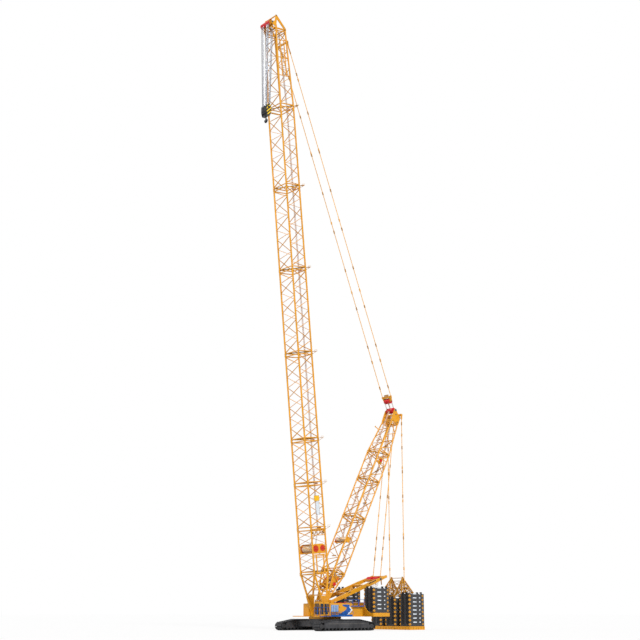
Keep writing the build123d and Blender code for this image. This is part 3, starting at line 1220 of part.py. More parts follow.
side_outline = [(cab_rear, wall_low), (CAB_FRONT - 12, wall_low), (CAB_FRONT, wall_low + 34),
                (CAB_FRONT, wall_high - 10), (CAB_FRONT - 5, wall_high), (cab_rear, wall_high)]
front_window = [(pillar_x + 4, sill), (CAB_FRONT - 9, sill), (CAB_FRONT - 9, lintel), (pillar_x + 8, lintel)]
doorway = box(cab_rear + 14, pillar_x - 8, cab_outer - 2 * CAB_WALL, cab_outer + CAB_WALL,
              wall_low + 3, wall_high - 8)
rear_window = box(cab_rear + 16, pillar_x - 10, CAB_INNER_Y - CAB_WALL, CAB_INNER_Y + 2 * CAB_WALL,
                  sill + 6, lintel)
# name, middle of the wall in y, its second cut-out
side_walls = [
    ("cab_wall_left", cab_outer - CAB_WALL / 2, doorway),
    ("cab_wall_right", CAB_INNER_Y + CAB_WALL / 2, rear_window),
]
for name, y, opening in side_walls:
    save(name, plate(side_outline, y, CAB_WALL) - plate(front_window, y, 3 * CAB_WALL) - opening)

y0, y1 = CAB_INNER_Y + CAB_WALL + SEAT, cab_outer - CAB_WALL - SEAT
front_points = [(CAB_FRONT - 12, wall_low), (CAB_FRONT, wall_low + 34), (CAB_FRONT, wall_high),
                (CAB_FRONT - CAB_WALL, wall_high), (CAB_FRONT - CAB_WALL, wall_low + 35),
                (CAB_FRONT - 12 - CAB_WALL, wall_low)]
windscreen = box(CAB_FRONT - 30, CAB_FRONT + 10, y0 + 8, y1 - 8, wall_low + 12, lintel)
save("cab_front", plate(front_points, (y0 + y1) / 2, y1 - y0) - windscreen)
rear_wall = box(cab_rear, cab_rear + CAB_WALL, y0, y1, wall_low, wall_high)
sill, head = wall_low + 60, wall_high - 14
rear_wall -= box(cab_rear - CAB_WALL, cab_rear + 2 * CAB_WALL, y0 + 14, y1 - 14, sill, head)
save("cab_rear", rear_wall)

DOOR_PLATE = 4.0
door_y = cab_outer + CAB_WALL + DOOR_PLATE / 2
door_x = cab_rear + 8
door_low, door_high = wall_low + 1, rail_low - 2 * SEAT
door_end = door_x + DOOR_LENGTH
door = box(door_x, door_end, door_y - DOOR_PLATE / 2, door_y + DOOR_PLATE / 2, door_low, door_high)
door -= box(door_x + 9, door_end - 8, door_y - 6, door_y + 6, door_low + 40, door_high - 10)
handle = box(door_x + 66, door_x + 72, door_y, door_y + 5, door_low + 22, door_low + 34)
save("cab_door", door + handle)

seat_x, seat_y = cab_rear + 52, (y0 + y1) / 2
cushion_z = floor_top + 34
post = box(seat_x - 18, seat_x + 18, seat_y - 14, seat_y + 14, floor_top + SEAT, cushion_z)
cushion = box(seat_x - 22, seat_x + 24, seat_y - 22, seat_y + 22, cushion_z, cushion_z + 12)
back = [(seat_x - 24, cushion_z + 6), (seat_x - 12, cushion_z + 10), (seat_x - 20, cushion_z + 74),
        (seat_x - 30, cushion_z + 72)]
save("cab_seat", post.fuse(cushion, plate(back, seat_y, 42)))
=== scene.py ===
import json
import math

import bmesh
import bpy
from mathutils import Matrix, Vector


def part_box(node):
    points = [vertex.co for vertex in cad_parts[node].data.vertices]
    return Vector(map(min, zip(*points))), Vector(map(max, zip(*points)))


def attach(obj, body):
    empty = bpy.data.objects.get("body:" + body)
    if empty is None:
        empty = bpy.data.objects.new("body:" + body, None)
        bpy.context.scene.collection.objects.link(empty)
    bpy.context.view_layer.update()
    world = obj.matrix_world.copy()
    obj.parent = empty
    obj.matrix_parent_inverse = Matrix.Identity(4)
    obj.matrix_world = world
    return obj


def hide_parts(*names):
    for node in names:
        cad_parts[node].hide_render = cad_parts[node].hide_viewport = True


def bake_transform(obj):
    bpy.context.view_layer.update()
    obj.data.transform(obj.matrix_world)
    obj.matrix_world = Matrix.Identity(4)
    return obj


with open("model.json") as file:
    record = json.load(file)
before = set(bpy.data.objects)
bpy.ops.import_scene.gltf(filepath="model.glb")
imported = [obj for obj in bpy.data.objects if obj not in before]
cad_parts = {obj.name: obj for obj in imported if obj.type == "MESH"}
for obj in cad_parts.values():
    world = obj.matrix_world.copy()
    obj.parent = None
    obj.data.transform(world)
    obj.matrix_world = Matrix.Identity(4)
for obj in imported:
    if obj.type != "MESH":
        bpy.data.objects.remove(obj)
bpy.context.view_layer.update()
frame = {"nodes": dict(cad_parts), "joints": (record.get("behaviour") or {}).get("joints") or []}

bl_info = {
    "name": "Crawler crane finish",
    "version": (1, 0, 0),
    "blender": (4, 5, 0),
    "location": "View3D > Sidebar > Crane",
    "description": "Round tubes, ropes, track shoes, fittings and paints of a crawler crane",
    "category": "Object",
}

# ---------------------------------------------------------------- frames, all lengths in millimetres
NODES = frame["nodes"]
JOINTS = {joint["name"]: joint for joint in frame["joints"]}
MILLIMETRE = Matrix.Scale(0.001, 4)
FORE, LEFT, UP = (1, 0, 0), (0, 1, 0), (0, 0, 1)


def pin_of(joint):
    """The place of a joint, on the crane's middle plane."""
    x, _, z = JOINTS[joint]["pos_m"]
    return Vector((x, 0, z))


def leaning(joint, lean):
    """A frame in millimetres whose z runs along a boom or mast from its foot pin."""
    return Matrix.Translation(pin_of(joint)) @ Matrix.Rotation(math.radians(lean), 4, "Y") @ MILLIMETRE


SLEW_X = pin_of("slew").x
DECK = Matrix.Translation((SLEW_X, 0, 0)) @ MILLIMETRE
BOOM_LEAN, MAST_LEAN, GANTRY_LEAN = 5.48, -26.74, -70.59     # degrees from upright at rest
BOOM = leaning("boom_luff", BOOM_LEAN)
MAST = leaning("mast_luff", MAST_LEAN)
GANTRY = leaning("gantry_luff", GANTRY_LEAN)


def on_deck(matrix, x, y, z):
    """A point of a leaning frame in the deck's frame."""
    return DECK.inverted() @ (matrix @ Vector((x, y, z)))


def span(node):
    """Lowest and highest corner of a node in the deck's frame."""
    low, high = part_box(node)
    return DECK.inverted() @ low, DECK.inverted() @ high


def centre(node):
    """Middle of a node in the deck's frame."""
    low, high = span(node)
    return (low + high) / 2


def flanks(node):
    """Right and left side of a node, each as its sign and its y in the deck's frame."""
    low, high = span(node)
    return (-1, low.y), (1, high.y)


def angles(count, turn=2 * math.pi):
    """Angles set evenly round a turn, from nought."""
    return [turn * k / count for k in range(count)]


def upright_ring(count, x, y, z, radius):
    """Points set evenly round an axle that runs along Y."""
    return [(x + radius * math.cos(a), y, z + radius * math.sin(a)) for a in angles(count)]


def flat_ring(turns, z, radius):
    """Points at the given angles round the slewing axis."""
    return [(radius * math.cos(a), radius * math.sin(a), z) for a in turns]


# ---------------------------------------------------------------- sizes and colours a user may change
def colour(name, description, default):
    return bpy.props.FloatVectorProperty(name=name, description=description, default=default,
                                         size=3, min=0.0, max=1.0, subtype="COLOR")


def size(name, description, default):
    return bpy.props.FloatProperty(name=name, description=description, default=default,
                                   min=0.0001, max=1.0, precision=4, unit="LENGTH")


class CranePaints(bpy.types.PropertyGroup):
    """Colours of the paints"""
    amber: colour("Amber", "Main paint of boom, mast and superstructure", (0.70, 0.315, 0.014))
    red: colour("Red", "Paint of sheaves and winch drums", (0.56, 0.008, 0.012))
    blue: colour("Blue", "Paint of walkways, rails and side band", (0.001, 0.085, 0.36))
    steel: colour("Track steel", "Shoes and crawler frames", (0.042, 0.042, 0.045))
    ballast: colour("Ballast", "Cast ballast plates", (0.047, 0.047, 0.050))
    pendant: colour("Pendant", "Pendant bars and stays", (0.80, 0.40, 0.06))


class CraneSizes(bpy.types.PropertyGroup):
    """Sizes of tubes, ropes and tracks"""
    boom_chord: size("Boom chord radius", "Radius of the boom's four chords", 0.0118)
    mast_chord: size("Mast chord radius", "Radius of the mast's four chords", 0.0098)
    lacing: size("Lacing radius", "Radius of the lacing tubes", 0.0074)
    rope: size("Rope radius", "Radius of the hoist ropes", 0.0019)
    shoes: bpy.props.IntProperty(name="Track shoes", description="Shoes on one track", default=54,
                                 min=20, max=90)
    tube_sides: bpy.props.IntProperty(name="Tube sides", description="Sides of a round tube", default=10,
                                      min=6, max=32)


# ---------------------------------------------------------------- node trees
def add(tree, kind, feeds=(), **settings):
    """A node with its settings, its inputs fed by sockets or plain values."""
    node = tree.nodes.new(kind)
    for key, value in settings.items():
        setattr(node, key, value)
    for socket, value in dict(feeds).items():
        if isinstance(value, bpy.types.NodeSocket):
            tree.links.new(value, node.inputs[socket])
        else:
            node.inputs[socket].default_value = value
    return node


COAT_ROUGHNESS, SHINE = 0.18, 0.3


class Finish:
    """Builds one material on the surface's own coordinates."""

    def __init__(self, name, metal=0.0, coat=0.0):
        self.material = bpy.data.materials.new(name)
        self.material.use_nodes = True
        self.tree = self.material.node_tree
        self.shader = self.tree.nodes["Principled BSDF"]
        self.shader.inputs["Metallic"].default_value = metal
        self.shader.inputs["Coat Weight"].default_value = coat
        self.shader.inputs["Coat Roughness"].default_value = COAT_ROUGHNESS
        self.shader.inputs["Specular IOR Level"].default_value = SHINE
        self.place = add(self.tree, "ShaderNodeTexCoord").outputs["Object"]

    def stretched(self, scale):
        return add(self.tree, "ShaderNodeMapping", {"Vector": self.place, "Scale": scale}).outputs["Vector"]

    def axes(self):
        return add(self.tree, "ShaderNodeSeparateXYZ", {0: self.place}).outputs

    def noise(self, scale, detail=3.0, rough=0.55, place=None):
        feeds = {"Vector": place or self.place, "Scale": scale, "Detail": detail, "Roughness": rough}
        return add(self.tree, "ShaderNodeTexNoise", feeds).outputs["Fac"]

    def ranged(self, value, low, high, out_low=0.0, out_high=1.0):
        feeds = {"Value": value, "From Min": low, "From Max": high, "To Min": out_low, "To Max": out_high}
        return add(self.tree, "ShaderNodeMapRange", feeds).outputs["Result"]

    def maths(self, operation, a, b=0.0):
        return add(self.tree, "ShaderNodeMath", {0: a, 1: b}, operation=operation).outputs[0]

    def mixed(self, share, a, b):
        a = a if isinstance(a, bpy.types.NodeSocket) else (*a, 1.0)
        b = b if isinstance(b, bpy.types.NodeSocket) else (*b, 1.0)
        return add(self.tree, "ShaderNodeMix", {0: share, 6: a, 7: b}, data_type="RGBA").outputs[2]

    def finished(self, base, rough, height=None, depth=0.0004):
        self.tree.links.new(base, self.shader.inputs["Base Color"])
        self.tree.links.new(rough, self.shader.inputs["Roughness"])
        if height is not None:
            bump = add(self.tree, "ShaderNodeBump", {"Height": height, "Distance": depth, "Strength": 0.6})
            self.tree.links.new(bump.outputs["Normal"], self.shader.inputs["Normal"])
        return self.material


def shade(rgb, factor):
    return tuple(min(1.0, channel * factor) for channel in rgb)


def paint(name, rgb, chip=(0.10, 0.07, 0.05), chips=0.70, rough=(0.30, 0.50), coat=0.08):
    """Sprayed paint: tone drifts, dust lies in patches, small chips show the primer."""
    look = Finish(name, coat=coat)
    broad, fine, grime = look.noise(3.5), look.noise(320.0, 2.0), look.noise(26.0, 5.0, 0.65)
    base = look.mixed(look.ranged(broad, 0.3, 0.7), shade(rgb, 0.90), shade(rgb, 1.08))
    dusty = look.maths("MULTIPLY", look.ranged(grime, 0.50, 0.80), 0.35)
    base = look.mixed(dusty, base, shade(rgb, 0.62))
    chipped = look.ranged(look.noise(95.0, 6.0, 0.7), chips, chips + 0.03)
    base = look.mixed(chipped, base, chip)
    rougher = look.maths("ADD", look.ranged(grime, 0.35, 0.75, *rough), look.maths("MULTIPLY", chipped, 0.3))
    return look.finished(base, rougher, look.maths("SUBTRACT", fine, chipped), 0.0002)


def cast_steel(name, rgb, metal=0.35):
    """Cast or rolled steel in dark paint, worn pale where it rubs."""
    look = Finish(name, metal=metal)
    broad, pits = look.noise(7.0, 4.0), look.noise(170.0, 5.0, 0.7)
    base = look.mixed(look.ranged(broad, 0.35, 0.68), shade(rgb, 0.75), shade(rgb, 1.7))
    rubbed = look.ranged(look.noise(48.0, 6.0, 0.75), 0.60, 0.74)
    base = look.mixed(look.maths("MULTIPLY", rubbed, 0.5), base, (0.16, 0.155, 0.15))
    return look.finished(base, look.ranged(pits, 0.3, 0.7, 0.42, 0.72), pits, 0.0006)


def cast_block(name, rgb):
    """Ballast casting: grainy skin, faint streaks run down its faces."""
    look = Finish(name)
    skin = look.noise(240.0, 6.0, 0.7)
    streak = look.noise(30.0, 4.0, 0.6, look.stretched((1.0, 1.0, 0.12)))
    base = look.mixed(look.ranged(look.noise(5.0), 0.3, 0.7), shade(rgb, 0.8), shade(rgb, 1.25))
    base = look.mixed(look.maths("MULTIPLY", look.ranged(streak, 0.52, 0.72), 0.4), base, shade(rgb, 2.1))
    return look.finished(base, look.ranged(skin, 0.3, 0.7, 0.55, 0.85), skin, 0.0008)


def strand_rope(name, rgb, greased=0.0, metal=0.55):
    """Stranded wire rope: fine slanting wires, grease held in patches."""
    look = Finish(name, metal=metal)
    x, y, z = look.axes()
    slant = look.maths("MULTIPLY", look.maths("ADD", z, look.maths("ADD", x, y)), WIRES)
    wires = look.maths("SINE", slant)
    base = look.mixed(look.ranged(wires, -1.0, 1.0), shade(rgb, 0.72), shade(rgb, 1.1))
    base = look.mixed(look.ranged(look.noise(20.0, 4.0), 0.45, 0.7, 0.0, greased), base, (0.05, 0.028, 0.02))
    return look.finished(base, look.ranged(wires, -1.0, 1.0, 0.55, 0.32), wires, 0.0003)


HAZARD_PITCH = 0.052                                    # metres from one yellow band to the next


def hazard(name):
    """Slanting black and yellow bands with scuffed edges."""
    look = Finish(name, coat=0.2)
    x, y, z = look.axes()
    slant = look.maths("MULTIPLY", look.maths("ADD", look.maths("ADD", z, x), y), 1 / HAZARD_PITCH)
    band = look.maths("FRACT", look.maths("ADD", slant, look.ranged(look.noise(60.0), 0.0, 1.0, 0.0, 0.05)))
    base = look.mixed(look.maths("GREATER_THAN", band, 0.5), (0.012, 0.012, 0.014), (0.85, 0.55, 0.015))
    scuff = look.ranged(look.noise(120.0, 6.0, 0.7), 0.64, 0.7)
    base = look.mixed(look.maths("MULTIPLY", scuff, 0.6), base, (0.1, 0.09, 0.07))
    return look.finished(base, look.ranged(scuff, 0.0, 1.0, 0.3, 0.6), look.noise(400.0), 0.0002)


def pane(name, rgb):
    """Tinted safety glass with a little dust at its foot."""
    look = Finish(name)
    look.shader.inputs["IOR"].default_value = 1.5
    look.shader.inputs["Transmission Weight"].default_value = 0.06
    dust = look.ranged(look.noise(45.0, 5.0, 0.6), 0.45, 0.8)
    base = look.mixed(look.maths("MULTIPLY", dust, 0.25), rgb, (0.10, 0.13, 0.17))
    return look.finished(base, look.ranged(dust, 0.0, 1.0, 0.03, 0.22), look.noise(9.0), 0.0003)


THREADS, CUPS, WIRES = 5200.0, 900.0, 1100.0            # turns of a pattern, in radians to a metre


def woven(name, rgb):
    """Seat cloth: crossing threads, faded where it is sat on."""
    look = Finish(name)
    x, y, z = look.axes()
    warp = look.maths("SINE", look.maths("MULTIPLY", y, THREADS))
    weft = look.maths("SINE", look.maths("MULTIPLY", look.maths("ADD", x, z), THREADS))
    weave = look.maths("MULTIPLY", warp, weft)
    base = look.mixed(look.ranged(weave, -1.0, 1.0), shade(rgb, 0.7), shade(rgb, 1.35))
    base = look.mixed(look.ranged(look.noise(60.0), 0.5, 0.8, 0.0, 0.4), base, shade(rgb, 2.0))
    look.shader.inputs["Sheen Weight"].default_value = 0.3
    return look.finished(base, look.ranged(weave, -1.0, 1.0, 0.75, 0.92), weave, 0.0002)


def deck_grating(name, rgb):
    """Pressed open grating: a grid of round cups, their recesses darkened as painted shade."""
    look = Finish(name, coat=0.1)
    x, y, z = look.axes()
    rows = look.maths("SINE", look.maths("MULTIPLY", look.maths("ADD", x, z), CUPS))
    cups = look.maths("MULTIPLY", rows, look.maths("SINE", look.maths("MULTIPLY", y, CUPS)))
    cup_hollow_and_shade = look.ranged(cups, 0.15, 0.4)
    # the recesses of the cups painted much darker: painted shade
    base = look.mixed(look.maths("MULTIPLY", cup_hollow_and_shade, 0.75), rgb, shade(rgb, 0.15))
    base = look.mixed(look.ranged(look.noise(30.0, 5.0), 0.5, 0.75, 0.0, 0.3), base, shade(rgb, 0.5))
    depth = look.maths("MULTIPLY", cup_hollow_and_shade, -1.0)
    return look.finished(base, look.ranged(cup_hollow_and_shade, 0.0, 1.0, 0.4, 0.7), depth, 0.0006)


MATERIALS = {}


def mix_paints():
    """Every finish of the crane, by its short name."""
    paints = bpy.context.scene.crane_paints
    amber, blue, steel, ballast = (tuple(getattr(paints, key))
                                   for key in ("amber", "blue", "steel", "ballast"))
    MATERIALS.update({
        "amber": paint("Amber paint", amber),
        # darker, rougher and more chipped than the amber: wear and dark joints, and painted shade on parts
        # that lie in shade, such as the head sheaves and the winch hatch
        "amber_dark": paint("Amber paint, weathered and shaded", shade(amber, 0.62), chips=0.62, rough=(0.4, 0.6),
                            coat=0.0),
        "knot": paint("Connector paint", shade(amber, 0.72), chips=0.66, coat=0.0),
        # a far darker copy of the amber: painted shade for inner tubes, bars and plates that lie in shade
        "shadow": paint("Amber paint, painted shade", shade(amber, 0.30), chips=0.62, rough=(0.4, 0.6), coat=0.0),
        "lug": paint("Lug paint", shade(amber, 0.74), chips=0.60, rough=(0.4, 0.65), coat=0.0),
        "red": paint("Sheave red", tuple(paints.red), chip=(0.2, 0.19, 0.18), chips=0.66),
        "blue": paint("Rail blue", blue, chip=(0.3, 0.3, 0.3), chips=0.69),
        "pale_grille": paint("Grille paint", (0.20, 0.32, 0.56), chip=(0.2, 0.2, 0.2), chips=0.70, coat=0.0),
        "black": paint("Block black", (0.016, 0.016, 0.018), chip=(0.10, 0.09, 0.08), chips=0.66),
        "board_blue": paint("Pale slats", (0.34, 0.45, 0.64), chips=0.72, coat=0.0),
        "board_yellow": paint("Blank yellow board", (0.85, 0.47, 0.01), chips=0.72, coat=0.1),
        "board": paint("Blank board", (0.62, 0.67, 0.72), chip=(0.45, 0.45, 0.45), chips=0.72, coat=0.1),
        "band_white": paint("Band white", (0.80, 0.82, 0.84), chip=(0.5, 0.5, 0.5), chips=0.72, coat=0.0),
        "steel": cast_steel("Crawler steel", steel),
        "shoe": cast_steel("Shoe steel", shade(steel, 0.9), 0.45),
        "pin": cast_steel("Pin steel", (0.11, 0.105, 0.10), 0.8),
        "ballast": cast_block("Cast ballast", ballast),
        # the ballast at a fraction of its brightness, for the pockets: painted shade in the recesses
        "pocket": cast_block("Ballast pocket, painted shade", shade(ballast, 0.28)),
        "pendant": paint("Pendant paint", tuple(paints.pendant), chips=0.66, rough=(0.35, 0.55)),
        "rope": strand_rope("Wire rope", (0.30, 0.31, 0.34), 0.15),
        "drum_rope": strand_rope("Drum rope", (0.66, 0.50, 0.34), 0.1),
        "brown_rope": strand_rope("Greased rope", (0.50, 0.30, 0.19), 0.2, 0.1),
        "hazard": hazard("Hazard bands"),
        "glass": pane("Cab glass", (0.006, 0.014, 0.036)),
        "lens": pane("Lamp lens", (0.75, 0.76, 0.74)),
        "cloth": woven("Seat cloth", (0.030, 0.031, 0.036)),
        "grating": deck_grating("Amber grating", shade(amber, 0.9)),
        "blue_grating": deck_grating("Blue grating", blue),
        "rubber": cast_block("Rubber", (0.014, 0.014, 0.015)),
    })


# ---------------------------------------------------------------- geometry trees
def new_tree(name, inputs):
    """An empty geometry tree with named inputs; returns it and its input node's sockets."""
    tree = bpy.data.node_groups.new(name, "GeometryNodeTree")
    tree.interface.new_socket("Geometry", in_out="INPUT", socket_type="NodeSocketGeometry")
    for label, kind, default in inputs:
        socket = tree.interface.new_socket(label, in_out="INPUT", socket_type="NodeSocket" + kind)
        if default is not None:
            socket.default_value = default
    tree.interface.new_socket("Material", in_out="INPUT", socket_type="NodeSocketMaterial")
    tree.interface.new_socket("Geometry", in_out="OUTPUT", socket_type="NodeSocketGeometry")
    return tree, tree.nodes.new("NodeGroupInput").outputs


def close_tree(tree, geometry, material):
    """Ends a tree in real geometry with its material."""
    real = add(tree, "GeometryNodeRealizeInstances", {0: geometry}).outputs[0]
    done = add(tree, "GeometryNodeSetMaterial", {"Geometry": real, "Material": material}).outputs[0]
    tree.links.new(done, tree.nodes.new("NodeGroupOutput").inputs[0])
    return tree


def circle_swept(tree, curve, radius, sides, scale=None):
    """A closed round tube along a curve."""
    ring = add(tree, "GeometryNodeCurvePrimitiveCircle", {"Resolution": sides, "Radius": radius})
    feeds = {"Curve": curve, "Profile Curve": ring.outputs["Curve"], "Fill Caps": True}
    if scale is not None:
        feeds["Scale"] = scale
    return add(tree, "GeometryNodeCurveToMesh", feeds).outputs["Mesh"]


def zigzag_tree():
    """Zigzag lacing between two chord lines, from one share of their length to another."""
    ends = ("Chord A low", "Chord A high", "Chord B low", "Chord B high")
    tree, given = new_tree("Zigzag lacing", [(label, "Vector", None) for label in ends] + [
        ("Bays", "Int", 4), ("First", "Float", 0.0), ("Last", "Float", 1.0),
        ("Radius", "Float", 5.0), ("Sides", "Int", 8)])
    count = add(tree, "ShaderNodeMath", {0: given["Bays"], 1: 1.0}, operation="ADD").outputs[0]
    line = add(tree, "GeometryNodeMeshLine", {"Count": count}).outputs["Mesh"]
    index = add(tree, "GeometryNodeInputIndex").outputs[0]
    share = add(tree, "ShaderNodeMath", {0: index, 1: given["Bays"]}, operation="DIVIDE").outputs[0]
    share = add(tree, "ShaderNodeMapRange", {0: share, 3: given["First"], 4: given["Last"]}).outputs[0]
    side = add(tree, "ShaderNodeMath", {0: index, 1: 2.0}, operation="MODULO").outputs[0]

    def between(factor, a, b):
        return add(tree, "ShaderNodeMix", {0: factor, 4: a, 5: b}, data_type="VECTOR").outputs[1]

    on_a = between(share, given["Chord A low"], given["Chord A high"])
    on_b = between(share, given["Chord B low"], given["Chord B high"])
    bent = add(tree, "GeometryNodeSetPosition", {"Geometry": line, "Position": between(side, on_a, on_b)})
    curve = add(tree, "GeometryNodeMeshToCurve", {"Mesh": bent.outputs[0]}).outputs[0]
    return close_tree(tree, circle_swept(tree, curve, given["Radius"], given["Sides"]), given["Material"])


def tubes_tree():
    """Round tubes along the edges of a mesh, each point with its own radius."""
    tree, given = new_tree("Tubes along edges", [("Sides", "Int", 8)])
    curve = add(tree, "GeometryNodeMeshToCurve", {"Mesh": given["Geometry"]}).outputs[0]
    radius = add(tree, "GeometryNodeInputNamedAttribute", {"Name": "radius"}, data_type="FLOAT").outputs[0]
    return close_tree(tree, circle_swept(tree, curve, 1.0, given["Sides"], radius), given["Material"])


def row_tree():
    """A row of equal blocks: slats, ribs, rungs or bars."""
    tree, given = new_tree("Row of blocks", [
        ("Count", "Int", 5), ("Start", "Vector", None), ("Step", "Vector", None), ("Size", "Vector", None)])
    line = add(tree, "GeometryNodeMeshLine", {"Count": given["Count"], "Start Location": given["Start"],
                                              "Offset": given["Step"]}).outputs["Mesh"]
    block = add(tree, "GeometryNodeMeshCube", {"Size": given["Size"]}).outputs["Mesh"]
    row = add(tree, "GeometryNodeInstanceOnPoints", {"Points": line, "Instance": block}).outputs[0]
    return close_tree(tree, row, given["Material"])


def copies_tree():
    """Copies of one fitting on points; the attributes aim and side turn it."""
    tree, given = new_tree("Fittings on points", [("Fitting", "Object", None), ("Scale", "Float", 1.0)])
    aim = add(tree, "GeometryNodeInputNamedAttribute", {"Name": "aim"}, data_type="FLOAT_VECTOR").outputs[0]
    side = add(tree, "GeometryNodeInputNamedAttribute", {"Name": "side"}, data_type="FLOAT_VECTOR").outputs[0]
    turn = add(tree, "FunctionNodeAxesToRotation", {"Primary Axis": aim, "Secondary Axis": side},
               primary_axis="Z", secondary_axis="X").outputs[0]
    fitting = add(tree, "GeometryNodeObjectInfo", {"Object": given["Fitting"]}).outputs["Geometry"]
    placed = add(tree, "GeometryNodeInstanceOnPoints", {
        "Points": given["Geometry"], "Instance": fitting, "Rotation": turn, "Scale": given["Scale"]})
    return close_tree(tree, placed.outputs[0], given["Material"])


def track_tree():
    """Shoes set evenly round a closed loop, each square to it."""
    tree, given = new_tree("Shoes round a loop", [("Shoes", "Int", 54), ("Shoe", "Object", None)])
    loop = add(tree, "GeometryNodeMeshToCurve", {"Mesh": given["Geometry"]}).outputs[0]
    spread = add(tree, "GeometryNodeResampleCurve", {"Curve": loop, "Count": given["Shoes"]}).outputs[0]
    points = add(tree, "GeometryNodeCurveToPoints", {"Curve": spread}, mode="EVALUATED").outputs
    across = add(tree, "ShaderNodeCombineXYZ", {"Y": -1.0}).outputs[0]
    feeds = {"Primary Axis": points["Tangent"], "Secondary Axis": across}
    turn = add(tree, "FunctionNodeAxesToRotation", feeds, primary_axis="X", secondary_axis="Y").outputs[0]
    shoe = add(tree, "GeometryNodeObjectInfo", {"Object": given["Shoe"]}).outputs["Geometry"]
    belt = add(tree, "GeometryNodeInstanceOnPoints", {"Points": points["Points"], "Instance": shoe,
                                                      "Rotation": turn}).outputs[0]
    return close_tree(tree, belt, given["Material"])


TREES = {}


def grow_trees():
    """The five rules, by name."""
    TREES.update(zigzag=zigzag_tree(), tubes=tubes_tree(), row=row_tree(), copies=copies_tree(),
                 track=track_tree())


def grown(kind, paint_name, values=None, points=((0, 0, 0),), edges=(), attributes=None):
    """The plain mesh that a tree makes, in millimetres."""
    tree = TREES[kind]
    seed = bpy.data.meshes.new("seed")
    seed.from_pydata([tuple(point) for point in points], edges, [])
    for label, rows in (attributes or {}).items():
        vector = not isinstance(rows[0], float)
        layer = seed.attributes.new(label, "FLOAT_VECTOR" if vector else "FLOAT", "POINT")
        flat = [v for row in rows for v in row] if vector else rows
        layer.data.foreach_set("vector" if vector else "value", flat)
    holder = bpy.data.objects.new("holder", seed)
    bpy.context.scene.collection.objects.link(holder)
    modifier = holder.modifiers.new("Rule", "NODES")
    modifier.node_group = tree
    keys = {item.name: item.identifier for item in tree.interface.items_tree if item.in_out == "INPUT"}
    for label, value in {**(values or {}), "Material": MATERIALS[paint_name]}.items():
        modifier[keys[label]] = value
    mesh = bpy.data.meshes.new_from_object(holder.evaluated_get(bpy.context.evaluated_depsgraph_get()))
    bpy.data.objects.remove(holder)
    bpy.data.meshes.remove(seed)
    if not mesh.polygons:
        raise RuntimeError(f"the tree {kind} made nothing")
    return mesh


# ---------------------------------------------------------------- mesh work
BEVEL_FROM = 50                                         # degrees between faces that get a rounded edge
BLOCK_FACES = ((0, 1, 3, 2), (4, 6, 7, 5), (0, 4, 5, 1), (2, 3, 7, 6), (0, 2, 6, 4), (1, 5, 7, 3))


